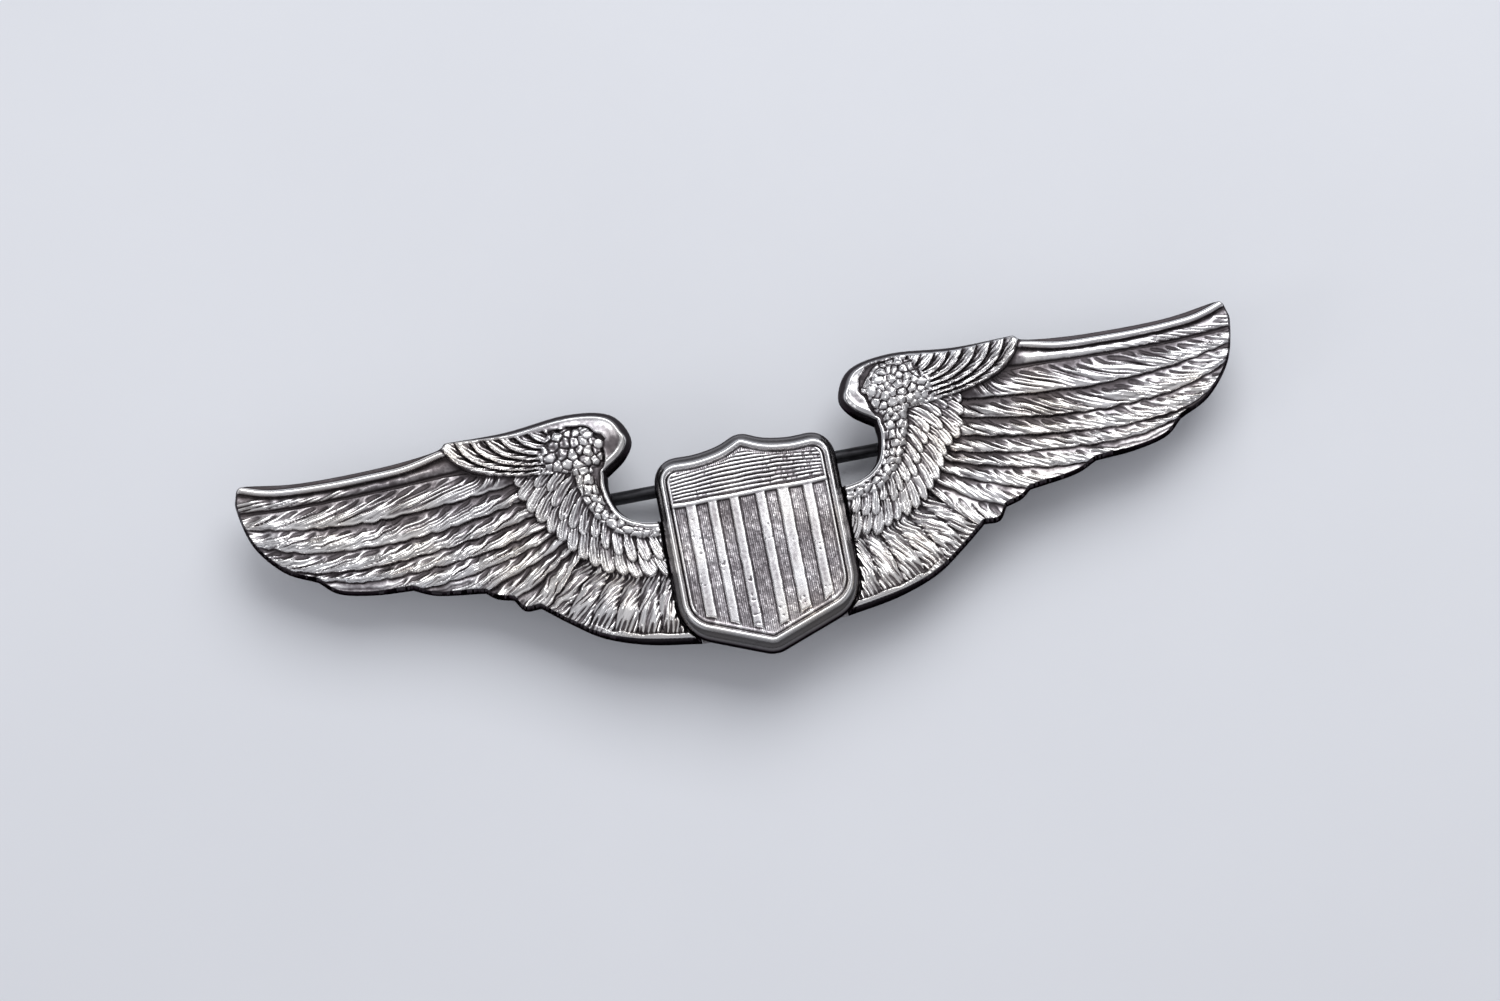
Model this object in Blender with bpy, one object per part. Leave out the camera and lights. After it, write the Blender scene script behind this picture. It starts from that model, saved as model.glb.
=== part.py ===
"""Pilot wings pin, three inches across, lying face up on its pin findings.

Two die-struck wings are soldered to a centre plate, and a striped shield is
riveted over the joint. On the back a pin stem turns on a rivet in a hinge
bracket, and a safety catch with a turning C-shaped sleeve holds its point.

All sizes are in millimetres and become metres when a mesh is made. X runs
along the span, Y towards the shield's peak, and Z out of the badge's face.
Outlines are drawn about the shield's centre and then moved by FRAME_Y.
"""
from math import asin, cos, pi, radians, sin

import bmesh
import bpy
from mathutils import Matrix, Vector

MM = 0.001

# ---- Driving dimensions, in millimetres ----
SPAN = 76.2               # three inches, the full-size badge
AXIS_Z = 1.65             # height of the pin stem's centre line
WING_BACK_Z = 4.2         # flat back of wings and centre plate
PLATE = 1.0               # thickness of the struck metal at its edge
GAP = 0.05                # solder film left between two touching pieces
EDGE_DRAFT = 0.35         # how far the struck edge leans in from back to front
FEATHER_Z = 5.65          # top of the flight feathers
COVERT_Z = 5.95           # top of the covert feathers and the neck
HEAD_Z = 6.55             # top of the wing's rounded head
SHIELD_Z = 6.9            # crest of the shield's rim

SHIELD_HALF_WIDTH = 6.3   # to the crest of the rim
SHIELD_PEAK_Y = 7.45
SHIELD_TIP_Y = -7.9
RIM_GROW = (0.6, 0.88)    # how far the rim's foot stands outside its crest, in X and Y
RIM_WIDTH = 0.3           # flat crest of the rim
RIM_WALL = 0.8            # upright part of the shield's side
FIELD_DROP = 0.3          # field below the rim's crest
STRIPE_PITCH = 0.915      # width of each upright band on the field
STRIPE_PAIRS = 3          # raised stripes each side of the middle band
BAR_Y = 3.4               # middle of the level bar over the stripes
LINE_PITCH = 0.3          # engraved lines above the bar
LINE_COUNT = 11

SHIELD_RIVET_X = 3.2
SHIELD_RIVET_Y = 0.5
SHIELD_RIVET_R = 0.6
SHIELD_RIVET_DEPTH = 0.6  # into the shield's back
SHIELD_BACK_Z = WING_BACK_Z + PLATE + GAP

FINDING_Y = 5.95          # the pin's line, measured from the shield's centre
HINGE_X = -19.5
CATCH_X = 18.5
STEM_R = 0.5
STEM_PAST_CATCH = 3.6     # point of the stem beyond the middle of the catch
STEM_TAPER = 4.5
PATCH_T = 0.5             # soldered patches under hinge and catch

RIVET_R = 0.5
EAR_R = AXIS_Z            # the ears touch the table
EAR_T = 0.55
EAR_SPACE = 1.9           # free width between the two ears
KNUCKLE_R = 1.1
KNUCKLE_T = 1.8
SOCKET_FLOOR = 1.5        # bottom of the wire's hole, from the hinge's axis
SOCKET_END = 3.2          # mouth of the wire's hole
RIVET_CLEARANCE = 0.05    # running clearance of the knuckle on its rivet
FIXED_CLEARANCE = 0.03    # gap round a rivet or wire that is held fast

SLEEVE_R = 1.05           # turning sleeve of the catch
SLEEVE_BORE_R = 0.6
SLEEVE_LENGTH = 3.9
SLEEVE_SLOT = 1.12
HOUSING_R = AXIS_Z        # the catch touches the table
HOUSING_BORE_R = 1.11
HOUSING_LENGTH = 3.6
HOUSING_SLOT = 1.24
WINDOW = 1.3              # free width for the lever between the two cheeks
LEVER_W = 1.1
LEVER_T = 0.5
LEVER_REACH = 2.9
LEVER_REST = radians(-15)  # lever's angle above +Y while the catch is open

# ---- Outline of the wing on the +X side: smooth stretches between corners ----
WING_EDGE = (
    # throat, from behind the shield to the underside of the head
    ((5.55, 2.9), (8.2, 3.2), (9.7, 4.2), (10.25, 5.9), (10.2, 7.1)),
    # rounded head and the top of the upper coverts
    ((10.2, 7.1), (8.6, 8.3), (7.95, 9.8), (9.2, 11.8), (12.5, 12.42), (17.2, 11.97), (21.8, 12.02)),
    # leading edge
    ((21.8, 12.02), (22.8, 11.5), (27.0, 11.1), (33.0, 11.08), (37.85, 11.8)),
    # tip and outermost primary
    ((37.85, 11.8), (38.2, 9.9), (37.35, 7.0), (35.4, 4.6), (33.0, 3.35)),
    # second primary group
    ((33.0, 3.35), (31.6, 2.2), (29.0, 1.6), (26.1, 1.4)),
    # third primary group
    ((26.1, 1.4), (24.3, 0.65), (20.8, 0.15)),
    # fourth and fifth primary groups
    ((20.8, 0.15), (20.0, -0.45), (18.8, -0.8)),
    ((18.8, -0.8), (18.1, -1.75), (16.9, -1.8)),
    # secondaries, back behind the shield
    ((16.9, -1.8), (14.9, -3.4), (12.6, -4.95), (9.4, -6.05), (5.55, -6.7)),
)

# ---- Raised feathers of the same wing: spine points, then root and tip width ----
PRIMARIES = (
    (((16.0, 8.5), (24.0, 8.15), (31.0, 8.35), (37.4, 9.1)), 1.5, 1.9),
    (((16.0, 7.0), (24.0, 6.1), (31.0, 6.2), (36.9, 7.5)), 1.1, 1.6),
    (((15.5, 5.7), (24.0, 4.35), (31.0, 4.45), (35.8, 5.8)), 1.1, 1.5),
    (((15.0, 4.6), (21.0, 3.35), (27.0, 3.0), (33.2, 3.85)), 0.9, 0.7),
    (((14.5, 3.6), (20.0, 2.5), (26.0, 2.0), (31.6, 2.7)), 1.0, 0.9),
    (((14.0, 2.6), (18.0, 1.6), (22.0, 1.0), (25.0, 0.95)), 1.0, 0.5),
    (((13.5, 1.7), (16.5, 0.6), (20.1, -0.1)), 1.0, 0.6),
    (((13.0, 0.8), (15.2, -0.5), (18.0, -1.3)), 1.0, 0.9),
)
SECONDARIES = (
    (((12.4, 0.0), (14.0, -1.6), (15.4, -2.7)), 0.9, 0.8),
    (((11.6, -0.5), (12.9, -2.3), (14.4, -3.5)), 0.9, 0.9),
    (((10.8, -0.9), (11.8, -2.9), (13.1, -4.2)), 0.9, 0.9),
    (((10.0, -1.1), (10.7, -3.2), (11.8, -4.9)), 0.9, 0.9),
    (((9.2, -1.2), (9.7, -3.4), (10.5, -5.4)), 0.9, 0.9),
    (((8.4, -1.2), (8.7, -3.4), (9.2, -5.7)), 0.8, 0.9),
    (((7.5, -1.2), (7.6, -3.4), (7.9, -6.0)), 0.6, 0.7),
)
UPPER_COVERTS = (
    (((13.6, 9.3), (14.7, 10.0), (15.3, 11.2)), 0.5, 0.7),
    (((14.2, 9.1), (15.9, 9.8), (16.7, 11.1)), 0.5, 0.7),
    (((14.8, 8.9), (17.1, 9.6), (18.1, 11.0)), 0.5, 0.7),
    (((15.4, 8.7), (18.3, 9.4), (19.6, 11.0)), 0.5, 0.7),
    (((16.0, 8.4), (19.4, 9.1), (21.2, 11.2)), 0.5, 0.8),
)
RIM_BAR = (((22.2, 10.75), (27.0, 10.35), (33.0, 10.35), (37.3, 11.0)), 0.6, 0.6)

# ---- Raised areas of the same wing: smooth closed outlines ----
COVERT_AREA = (
    (7.3, 2.6), (8.6, 2.75), (10.1, 3.7), (10.75, 5.9), (10.6, 8.2), (12.5, 9.8), (14.6, 8.6),
    (17.2, 7.6), (16.6, 5.4), (15.0, 3.6), (13.4, 1.2), (11.3, -0.6), (9.0, -1.15), (7.35, -1.1), (7.1, 0.8),
)
HEAD_AREA = (
    (8.7, 9.6), (9.7, 11.2), (12.5, 11.7), (17.0, 11.4), (21.3, 11.5), (20.2, 10.0),
    (17.2, 8.8), (13.8, 8.7), (11.4, 7.6), (9.6, 8.4),
)


# ---- Plane geometry ----
def spline(points, steps=4):
    """Catmull-Rom curve through points; its last point is left to the next stretch."""
    ends = [2 * Vector(points[0]) - Vector(points[1]), 2 * Vector(points[-1]) - Vector(points[-2])]
    knots = [ends[0]] + [Vector(p) for p in points] + [ends[1]]
    curve = []
    for a, b, c, d in zip(knots, knots[1:], knots[2:], knots[3:]):
        for step in range(steps):
            t = step / steps
            curve.append(0.5 * (2 * b + (c - a) * t + (2 * a - 5 * b + 4 * c - d) * t * t
                                + (3 * b - a - 3 * c + d) * t ** 3))
    return curve


def closed_spline(points, steps=3):
    """Smooth closed curve through points."""
    wrapped = list(points[-1:]) + list(points) + list(points[:2])
    return spline(wrapped, steps)[steps:-steps]


def counterclockwise(loop):
    area = sum(a[0] * b[1] - b[0] * a[1] for a, b in zip(loop, loop[1:] + loop[:1]))
    return loop if area > 0 else loop[::-1]


def inset(loop, distance_x, distance_y=None):
    """Move each point of a counterclockwise loop inwards along its mitred normal."""
    distance_y = distance_x if distance_y is None else distance_y
    moved = []
    for before, point, after in zip(loop[-1:] + loop[:-1], loop, loop[1:] + loop[:1]):
        into = (point - before).normalized()
        out = (after - point).normalized()
        normal = Vector((-(into.y + out.y), into.x + out.x))
        mitre = min(2.0 / normal.length, 2.0)
        normal.normalize()
        moved.append(point + Vector((normal.x * distance_x, normal.y * distance_y)) * mitre)
    return moved


def arc(radius, start, stop, steps, centre=(0.0, 0.0)):
    """Points on an arc from start to stop, both included, in radians."""
    angles = [start + (stop - start) * i / steps for i in range(steps + 1)]
    return [Vector((centre[0] + radius * cos(a), centre[1] + radius * sin(a))) for a in angles]


def ribbon(spine, width_root, width_tip, steps=2):
    """Outline of a feather: a band along a curved spine, round at its tip."""
    path = spline(spine, steps) + [Vector(spine[-1])]
    sides = ([], [])
    for i, point in enumerate(path):
        ahead = path[min(i + 1, len(path) - 1)] - path[max(i - 1, 0)]
        normal = Vector((-ahead.y, ahead.x)).normalized()
        along = i / (len(path) - 1)
        half = 0.5 * (width_root + (width_tip - width_root) * along)
        half *= 0.6 if i == len(path) - 1 else 1.0
        sides[0].append(point - normal * half)
        sides[1].append(point + normal * half)
    return counterclockwise(sides[0] + sides[1][::-1])


def wing_outline():
    loop = [point for stretch in WING_EDGE for point in spline(stretch)]
    loop.append(Vector(WING_EDGE[-1][-1]))
    reach = max(point.x for point in loop)
    return counterclockwise([Vector((p.x * 0.5 * SPAN / reach, p.y)) for p in loop])


def shield_crest():
    """Crest of the shield's rim: peaked top, round shoulders, straight sides, V-shaped foot."""
    w = SHIELD_HALF_WIDTH
    top = spline(((0.0, SHIELD_PEAK_Y), (1.6, 6.75), (3.5, 6.42), (w - 1.1, 6.45)), 3)
    shoulder = arc(1.1, pi / 2, 0, 5, (w - 1.1, 5.35))
    foot = arc(2.3, 0, -radians(71), 6, (w - 2.3, -3.9))
    half = top[:-1] + shoulder + foot + [Vector((0.0, SHIELD_TIP_Y))]
    mirrored = [Vector((-p.x, p.y)) for p in half[1:-1]]
    return counterclockwise(half + mirrored[::-1])


def shield_foot():
    """Foot of the shield's rim, outside its crest."""
    return inset(shield_crest(), -RIM_GROW[0], -RIM_GROW[1])


def width_inside(loop, y):
    """Half width of a loop, symmetric about X=0, at height y."""
    reach = 0.0
    for a, b in zip(loop, loop[1:] + loop[:1]):
        if (a.y - y) * (b.y - y) < 0:
            reach = max(reach, abs(a.x + (b.x - a.x) * (y - a.y) / (b.y - a.y)))
    return reach


# ---- Moves the badge's own centre to the middle of its height ----
FRAME_Y = -0.5 * (max(p.y for p in wing_outline()) + min(p.y for p in shield_foot()))
HINGE = Vector((HINGE_X, FINDING_Y + FRAME_Y, AXIS_Z))
CATCH = Vector((CATCH_X, FINDING_Y + FRAME_Y, AXIS_Z))


# ---- Solid geometry ----
def stack(mesh, rings, place):
    """Skin a row of equal rings and close both ends. place turns (u, v, w) into X, Y, Z."""
    rows = [[mesh.verts.new(place(p[0], p[1], level)) for p in loop] for loop, level in rings]
    count = len(rows[0])
    for low, high in zip(rows, rows[1:]):
        for i in range(count):
            j = (i + 1) % count
            mesh.faces.new((low[i], low[j], high[j], high[i]))
    mesh.faces.new(rows[0][::-1])
    mesh.faces.new(rows[-1])


def face_up(u, v, w):
    return Vector((u, v + FRAME_Y, w))


def mirrored_face_up(u, v, w):
    return Vector((-u, v + FRAME_Y, w))


def along_x(u, v, w):
    """Section drawn in Y and Z, run along X."""
    return Vector((w, u, v))


def along_y(u, v, w):
    """Section drawn in Z and X, run along Y."""
    return Vector((v, w, u))


def box(mesh, low, high):
    corners = [Vector((low[0], low[1])), Vector((high[0], low[1])),
               Vector((high[0], high[1])), Vector((low[0], high[1]))]
    stack(mesh, ((corners, low[2]), (corners, high[2])), lambda u, v, w: Vector((u, v, w)))


def turned(mesh, profile, place, segments=28):
    """Solid of revolution from a profile of (radius, position along the axis)."""
    rings = [(arc(radius, 0, 2 * pi, segments)[:-1], along) for radius, along in profile]
    stack(mesh, rings, place)


def make_object(name, mesh, origin=(0, 0, 0), material=None, sharp_angle=35):
    """Turn a bmesh drawn in millimetres about origin into an object at origin."""
    bmesh.ops.recalc_face_normals(mesh, faces=mesh.faces)
    bmesh.ops.scale(mesh, vec=(MM, MM, MM), verts=mesh.verts)
    data = bpy.data.meshes.new(name)
    mesh.to_mesh(data)
    mesh.free()
    data.shade_smooth()
    data.set_sharp_from_angle(angle=radians(sharp_angle))
    thing = bpy.data.objects.new(name, data)
    thing.location = Vector(origin) * MM
    bpy.context.collection.objects.link(thing)
    if material:
        data.materials.append(material)
    return thing


def combine(target, operation, mesh, origin=(0, 0, 0), overlapping=False):
    """Join or cut target with the shapes in mesh, kept as a hidden guide object."""
    tool = make_object(f"{target.name}_{operation.lower()}", mesh, origin)
    tool.hide_render = True
    tool.display_type = "WIRE"
    modifier = target.modifiers.new(operation.title(), "BOOLEAN")
    modifier.operation = operation
    modifier.object = tool
    modifier.solver = "EXACT"
    modifier.use_self = overlapping


def metal(name, colour, roughness):
    material = bpy.data.materials.new(name)
    material.use_nodes = True
    shader = material.node_tree.nodes["Principled BSDF"]
    shader.inputs["Base Color"].default_value = (*colour, 1.0)
    shader.inputs["Metallic"].default_value = 1.0
    shader.inputs["Roughness"].default_value = roughness
    return material


# ---- The badge's face ----
def raise_feather(mesh, feather, low, high, place):
    spine, width_root, width_tip = feather
    loop = ribbon(spine, width_root, width_tip)
    stack(mesh, ((loop, low), (inset(loop, 0.12), high)), place)


def wing(name, place, material):
    """One struck wing: drafted blank with its feathers raised on top."""
    outline = wing_outline()
    front = WING_BACK_Z + PLATE
    blank = bmesh.new()
    stack(blank, ((outline, WING_BACK_Z), (inset(outline, EDGE_DRAFT), front)), place)
    body = make_object(name, blank, material=material)

    relief = bmesh.new()
    sunk = front - 0.3
    for feather in PRIMARIES + SECONDARIES:
        raise_feather(relief, feather, sunk, FEATHER_Z, place)
    for area, height in ((COVERT_AREA, COVERT_Z), (HEAD_AREA, HEAD_Z - 0.35)):
        loop = counterclockwise(closed_spline(area))
        stack(relief, ((loop, sunk), (loop, front), (inset(loop, 0.3), height)), place)
    for feather in UPPER_COVERTS:
        raise_feather(relief, feather, sunk, HEAD_Z, place)
    raise_feather(relief, RIM_BAR, sunk, COVERT_Z, place)
    combine(body, "UNION", relief, overlapping=True)


def centre_plate(material):
    """Backing plate that joins the two wings behind the shield."""
    half, low, high, corner = 5.5, -6.72, 5.0, 1.5
    right = arc(corner, 0, pi / 2, 4, (half - corner, high - corner))
    outline = [Vector((half, low))] + right
    outline = counterclockwise(outline + [Vector((-p.x, p.y)) for p in outline[::-1]])
    mesh = bmesh.new()
    stack(mesh, ((outline, WING_BACK_Z), (outline, WING_BACK_Z + PLATE)), face_up)
    plate = make_object("centre_plate", mesh, material=material)
    holes = bmesh.new()
    for x in (-SHIELD_RIVET_X, SHIELD_RIVET_X):
        hole_place = upright_at(x)
        turned(holes, ((SHIELD_RIVET_R + FIXED_CLEARANCE, WING_BACK_Z - 1),
                       (SHIELD_RIVET_R + FIXED_CLEARANCE, WING_BACK_Z + PLATE + 1)), hole_place, 24)
    combine(plate, "DIFFERENCE", holes)


def upright_at(x):
    """Place a turned shape on an upright axis through the shield at x."""
    return lambda u, v, w: Vector((u + x, v + SHIELD_RIVET_Y + FRAME_Y, w))


def shield(material):
    """Applied shield: sloped rim, sunk field, raised stripes, bar and engraved lines."""
    crest = shield_crest()
    foot = shield_foot()
    inner = inset(crest, RIM_WIDTH)
    field = inset(crest, RIM_WIDTH + 0.1)
    field_z = SHIELD_Z - FIELD_DROP
    mesh = bmesh.new()
    stack(mesh, ((foot, SHIELD_BACK_Z), (foot, SHIELD_BACK_Z + RIM_WALL), (crest, SHIELD_Z),
                 (inner, SHIELD_Z), (field, field_z)), face_up)
    body = make_object("shield", mesh, material=material)

    sunk = field_z - 0.2
    charges = bmesh.new()
    stripe = 0.5 * STRIPE_PITCH
    foot_slope = (SHIELD_TIP_Y + 6.0) / (SHIELD_HALF_WIDTH - 1.6)
    for pair in range(STRIPE_PAIRS):
        for side in (-1, 1):
            x = side * STRIPE_PITCH * (2 * pair + 1)
            low = SHIELD_TIP_Y + 0.2 - foot_slope * (abs(x) - stripe)
            box(charges, (x - stripe, low + FRAME_Y, sunk), (x + stripe, BAR_Y + FRAME_Y, SHIELD_Z - 0.1))
    bar = width_inside(field, BAR_Y) + 0.05
    box(charges, (-bar, BAR_Y - 0.15 + FRAME_Y, sunk), (bar, BAR_Y + 0.15 + FRAME_Y, SHIELD_Z - 0.08))
    for i in range(LINE_COUNT):
        y = BAR_Y + LINE_PITCH * (i + 1.1)
        reach = width_inside(field, y + 0.08)
        if reach > 0.3:
            box(charges, (-reach, y - 0.07 + FRAME_Y, sunk), (reach, y + 0.07 + FRAME_Y, field_z + 0.12))
    combine(body, "UNION", charges, overlapping=True)

    holes = bmesh.new()
    for x in (-SHIELD_RIVET_X, SHIELD_RIVET_X):
        turned(holes, ((SHIELD_RIVET_R + FIXED_CLEARANCE, SHIELD_BACK_Z - 1),
                       (SHIELD_RIVET_R + FIXED_CLEARANCE, SHIELD_BACK_Z + SHIELD_RIVET_DEPTH)), upright_at(x), 24)
    combine(body, "DIFFERENCE", holes)


def shield_rivet(name, x, material):
    """Rivet from the shield's back through the centre plate, with a peened head."""
    head_z = WING_BACK_Z - GAP
    profile = (
        (0.45, head_z - 0.35), (0.85, head_z - 0.22), (1.0, head_z),
        (SHIELD_RIVET_R, head_z), (SHIELD_RIVET_R, SHIELD_BACK_Z + SHIELD_RIVET_DEPTH - GAP),
    )
    mesh = bmesh.new()
    turned(mesh, profile, upright_at(x), 24)
    make_object(name, mesh, material=material)


# ---- The hinge on the back ----
def patch(name, centre, length, width, material):
    """Oval patch that spreads a finding's load over the wing's back."""
    top = WING_BACK_Z - GAP - centre.z
    side = 0.5 * (length - width)
    outline = arc(0.5 * width, -pi / 2, pi / 2, 8, (side, 0)) + arc(0.5 * width, pi / 2, 3 * pi / 2, 8, (-side, 0))
    mesh = bmesh.new()
    stack(mesh, ((inset(outline, 0.1), top - PATCH_T), (outline, top - PATCH_T + 0.1), (outline, top)),
          lambda u, v, w: Vector((u, v, w)))
    make_object(name, mesh, centre, material)


def finding_top():
    """Height of the findings' flat tops above the pin's axis."""
    return WING_BACK_Z - 2 * GAP - PATCH_T - AXIS_Z


def hinge_bracket(material):
    """Folded bracket: two round ears under a flat bridge."""
    top = finding_top()
    half = 0.5 * EAR_SPACE + EAR_T
    ear = [Vector((top, -EAR_R)), Vector((top, EAR_R))] + arc(EAR_R, pi / 2, 3 * pi / 2, 20)
    mesh = bmesh.new()
    stack(mesh, ((ear, -half), (ear, half)), along_y)
    body = make_object("hinge_bracket", mesh, HINGE, material)
    space = bmesh.new()
    box(space, (-3, -0.5 * EAR_SPACE, -3), (3, 0.5 * EAR_SPACE, top - 0.5))
    turned(space, ((RIVET_R + FIXED_CLEARANCE, -half - 1), (RIVET_R + FIXED_CLEARANCE, half + 1)), along_y)
    combine(body, "DIFFERENCE", space, HINGE, overlapping=True)


def hinge_rivet(material):
    """Rivet that the pin turns on, headed at both ends."""
    ear = 0.5 * EAR_SPACE + EAR_T + GAP
    head = ((0.4, 0.34), (0.75, 0.2), (0.85, 0.0), (RIVET_R, 0.0))
    profile = [(radius, -ear - rise) for radius, rise in head]
    profile += [(radius, ear + rise) for radius, rise in head[::-1]]
    mesh = bmesh.new()
    turned(mesh, profile, along_y)
    make_object("hinge_rivet", mesh, HINGE, material)


def pin_knuckle(material):
    """Pierced disc on the hinge rivet with a socket for the wire."""
    mesh = bmesh.new()
    turned(mesh, ((KNUCKLE_R - 0.1, -0.5 * KNUCKLE_T), (KNUCKLE_R, -0.5 * KNUCKLE_T + 0.1),
                  (KNUCKLE_R, 0.5 * KNUCKLE_T - 0.1), (KNUCKLE_R - 0.1, 0.5 * KNUCKLE_T)), along_y, 36)
    body = make_object("pin_knuckle", mesh, HINGE, material)
    socket = bmesh.new()
    turned(socket, ((0.8, 0.7), (0.8, SOCKET_END - 0.3), (0.68, SOCKET_END)), along_x)
    combine(body, "UNION", socket, HINGE)
    holes = bmesh.new()
    turned(holes, ((RIVET_R + RIVET_CLEARANCE, -2), (RIVET_R + RIVET_CLEARANCE, 2)), along_y)
    turned(holes, ((STEM_R + FIXED_CLEARANCE, SOCKET_FLOOR), (STEM_R + FIXED_CLEARANCE, SOCKET_END + 1)), along_x)
    combine(body, "DIFFERENCE", holes, HINGE)


def pin_stem(material):
    """Straight wire with a long tapered point, held in the knuckle's socket."""
    end = CATCH_X - HINGE_X + STEM_PAST_CATCH
    profile = (
        (STEM_R - 0.1, SOCKET_FLOOR + GAP), (STEM_R, SOCKET_FLOOR + GAP + 0.1), (STEM_R, end - STEM_TAPER),
        (0.42, end - 3.0), (0.28, end - 1.4), (0.06, end),
    )
    mesh = bmesh.new()
    turned(mesh, profile, along_x, 24)
    make_object("pin_stem", mesh, HINGE, material)


# ---- The catch on the back ----
def c_section(outer, bore, slot, steps=26):
    """Ring section, open downwards over the slot's width."""
    outer_edge = -pi / 2 + asin(0.5 * slot / outer)
    inner_edge = -pi / 2 + asin(0.5 * slot / bore)
    return arc(outer, outer_edge, pi - outer_edge, steps) + arc(bore, pi - inner_edge, inner_edge, steps)


def catch_housing(material):
    """Two cheeks under one block, open below for the stem and between them for the lever."""
    top = finding_top()
    outer_edge = -pi / 2 + asin(0.5 * HOUSING_SLOT / HOUSING_R)
    inner_edge = -pi / 2 + asin(0.5 * HOUSING_SLOT / HOUSING_BORE_R)
    neck = 0.25
    section = arc(HOUSING_R, outer_edge, neck, 12)
    section += [Vector((1.5, top)), Vector((-1.5, top))]
    section += arc(HOUSING_R, pi - neck, pi - outer_edge, 12)
    section += arc(HOUSING_BORE_R, pi - inner_edge, inner_edge, 26)
    mesh = bmesh.new()
    half = 0.5 * HOUSING_LENGTH
    stack(mesh, ((section, -half), (section, half)), along_x)
    body = make_object("catch_housing", mesh, CATCH, material)
    window = bmesh.new()
    box(window, (-0.5 * WINDOW, -3, -3), (0.5 * WINDOW, 3, 0.45))
    combine(body, "DIFFERENCE", window, CATCH)


def catch_rotor(material):
    """Slotted sleeve that turns in the housing, with a lever to turn it by."""
    half = 0.5 * SLEEVE_LENGTH
    mesh = bmesh.new()
    section = c_section(SLEEVE_R, SLEEVE_BORE_R, SLEEVE_SLOT)
    stack(mesh, ((section, -half), (section, half)), along_x)
    body = make_object("catch_rotor", mesh, CATCH, material)

    end = LEVER_REACH - 0.5 * LEVER_W
    tab = [Vector((0.8, -0.5 * LEVER_W))] + arc(0.5 * LEVER_W, -pi / 2, pi / 2, 8, (end, 0))
    tab.append(Vector((0.8, 0.5 * LEVER_W)))
    tilt = Matrix.Rotation(LEVER_REST, 3, "X")
    lever = bmesh.new()
    stack(lever, ((inset(tab, 0.08), -0.5 * LEVER_T), (tab, -0.5 * LEVER_T + 0.08),
                  (tab, 0.5 * LEVER_T - 0.08), (inset(tab, 0.08), 0.5 * LEVER_T)),
          lambda u, v, w: tilt @ Vector((v, u, w)))
    combine(body, "UNION", lever, CATCH)


def clear_scene():
    for thing in list(bpy.data.objects):
        bpy.data.objects.remove(thing)


def main():
    clear_scene()
    silver = metal("oxidised_silver", (0.66, 0.63, 0.60), 0.28)
    dark_silver = metal("dark_silver", (0.34, 0.32, 0.31), 0.38)
    steel = metal("pin_steel", (0.42, 0.42, 0.43), 0.25)

    wing("right_wing", face_up, silver)
    wing("left_wing", mirrored_face_up, silver)
    centre_plate(dark_silver)
    shield(silver)
    shield_rivet("shield_rivet_right", SHIELD_RIVET_X, dark_silver)
    shield_rivet("shield_rivet_left", -SHIELD_RIVET_X, dark_silver)

    patch("hinge_patch", HINGE, 6.0, 4.4, dark_silver)
    hinge_bracket(dark_silver)
    hinge_rivet(steel)
    pin_knuckle(steel)
    pin_stem(steel)

    patch("catch_patch", CATCH, 6.4, 4.6, dark_silver)
    catch_housing(dark_silver)
    catch_rotor(dark_silver)


main()
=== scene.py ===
"""Looks of the pilot wings pin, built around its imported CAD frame.

The two wings and the shield are sculpted as height fields: their outlines are
the CAD's, and the feathers, scales, barbs and engraving are formulas over the
badge's plane. Shapes are drawn in millimetres from the shield's centre mark,
X outwards along the wing, Y towards the shield's peak, height above the back.
"""

from collections import namedtuple
from math import cos, pi, radians, sin

import bmesh
import bpy
import numpy as np
from mathutils import Matrix, Vector


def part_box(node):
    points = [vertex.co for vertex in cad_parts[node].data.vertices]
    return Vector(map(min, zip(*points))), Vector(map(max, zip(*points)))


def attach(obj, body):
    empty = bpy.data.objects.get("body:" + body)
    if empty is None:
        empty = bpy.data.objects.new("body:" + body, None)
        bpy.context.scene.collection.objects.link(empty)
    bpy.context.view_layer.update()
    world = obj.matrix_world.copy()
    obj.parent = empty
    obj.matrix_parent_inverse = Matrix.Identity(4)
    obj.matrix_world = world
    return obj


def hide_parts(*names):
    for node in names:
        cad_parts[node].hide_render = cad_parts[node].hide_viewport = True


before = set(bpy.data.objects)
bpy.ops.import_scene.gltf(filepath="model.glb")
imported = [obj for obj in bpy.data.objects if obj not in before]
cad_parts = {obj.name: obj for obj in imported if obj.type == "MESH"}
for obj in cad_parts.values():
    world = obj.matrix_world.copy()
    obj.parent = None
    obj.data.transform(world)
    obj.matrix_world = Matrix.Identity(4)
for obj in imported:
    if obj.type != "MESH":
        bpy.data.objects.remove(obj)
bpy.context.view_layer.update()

MM = 0.001
FAR = 99.0

# ---- Places taken from the frame ----
SHIELD_FOOT_TOP = 8.423  # shield's highest point above its centre mark
shield_low, shield_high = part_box("shield")
wing_low, wing_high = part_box("right_wing")
CENTRE_Y = shield_high.y / MM - SHIELD_FOOT_TOP
BACK_Z = wing_low.z / MM
HALF_SPAN = wing_high.x / MM

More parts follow.
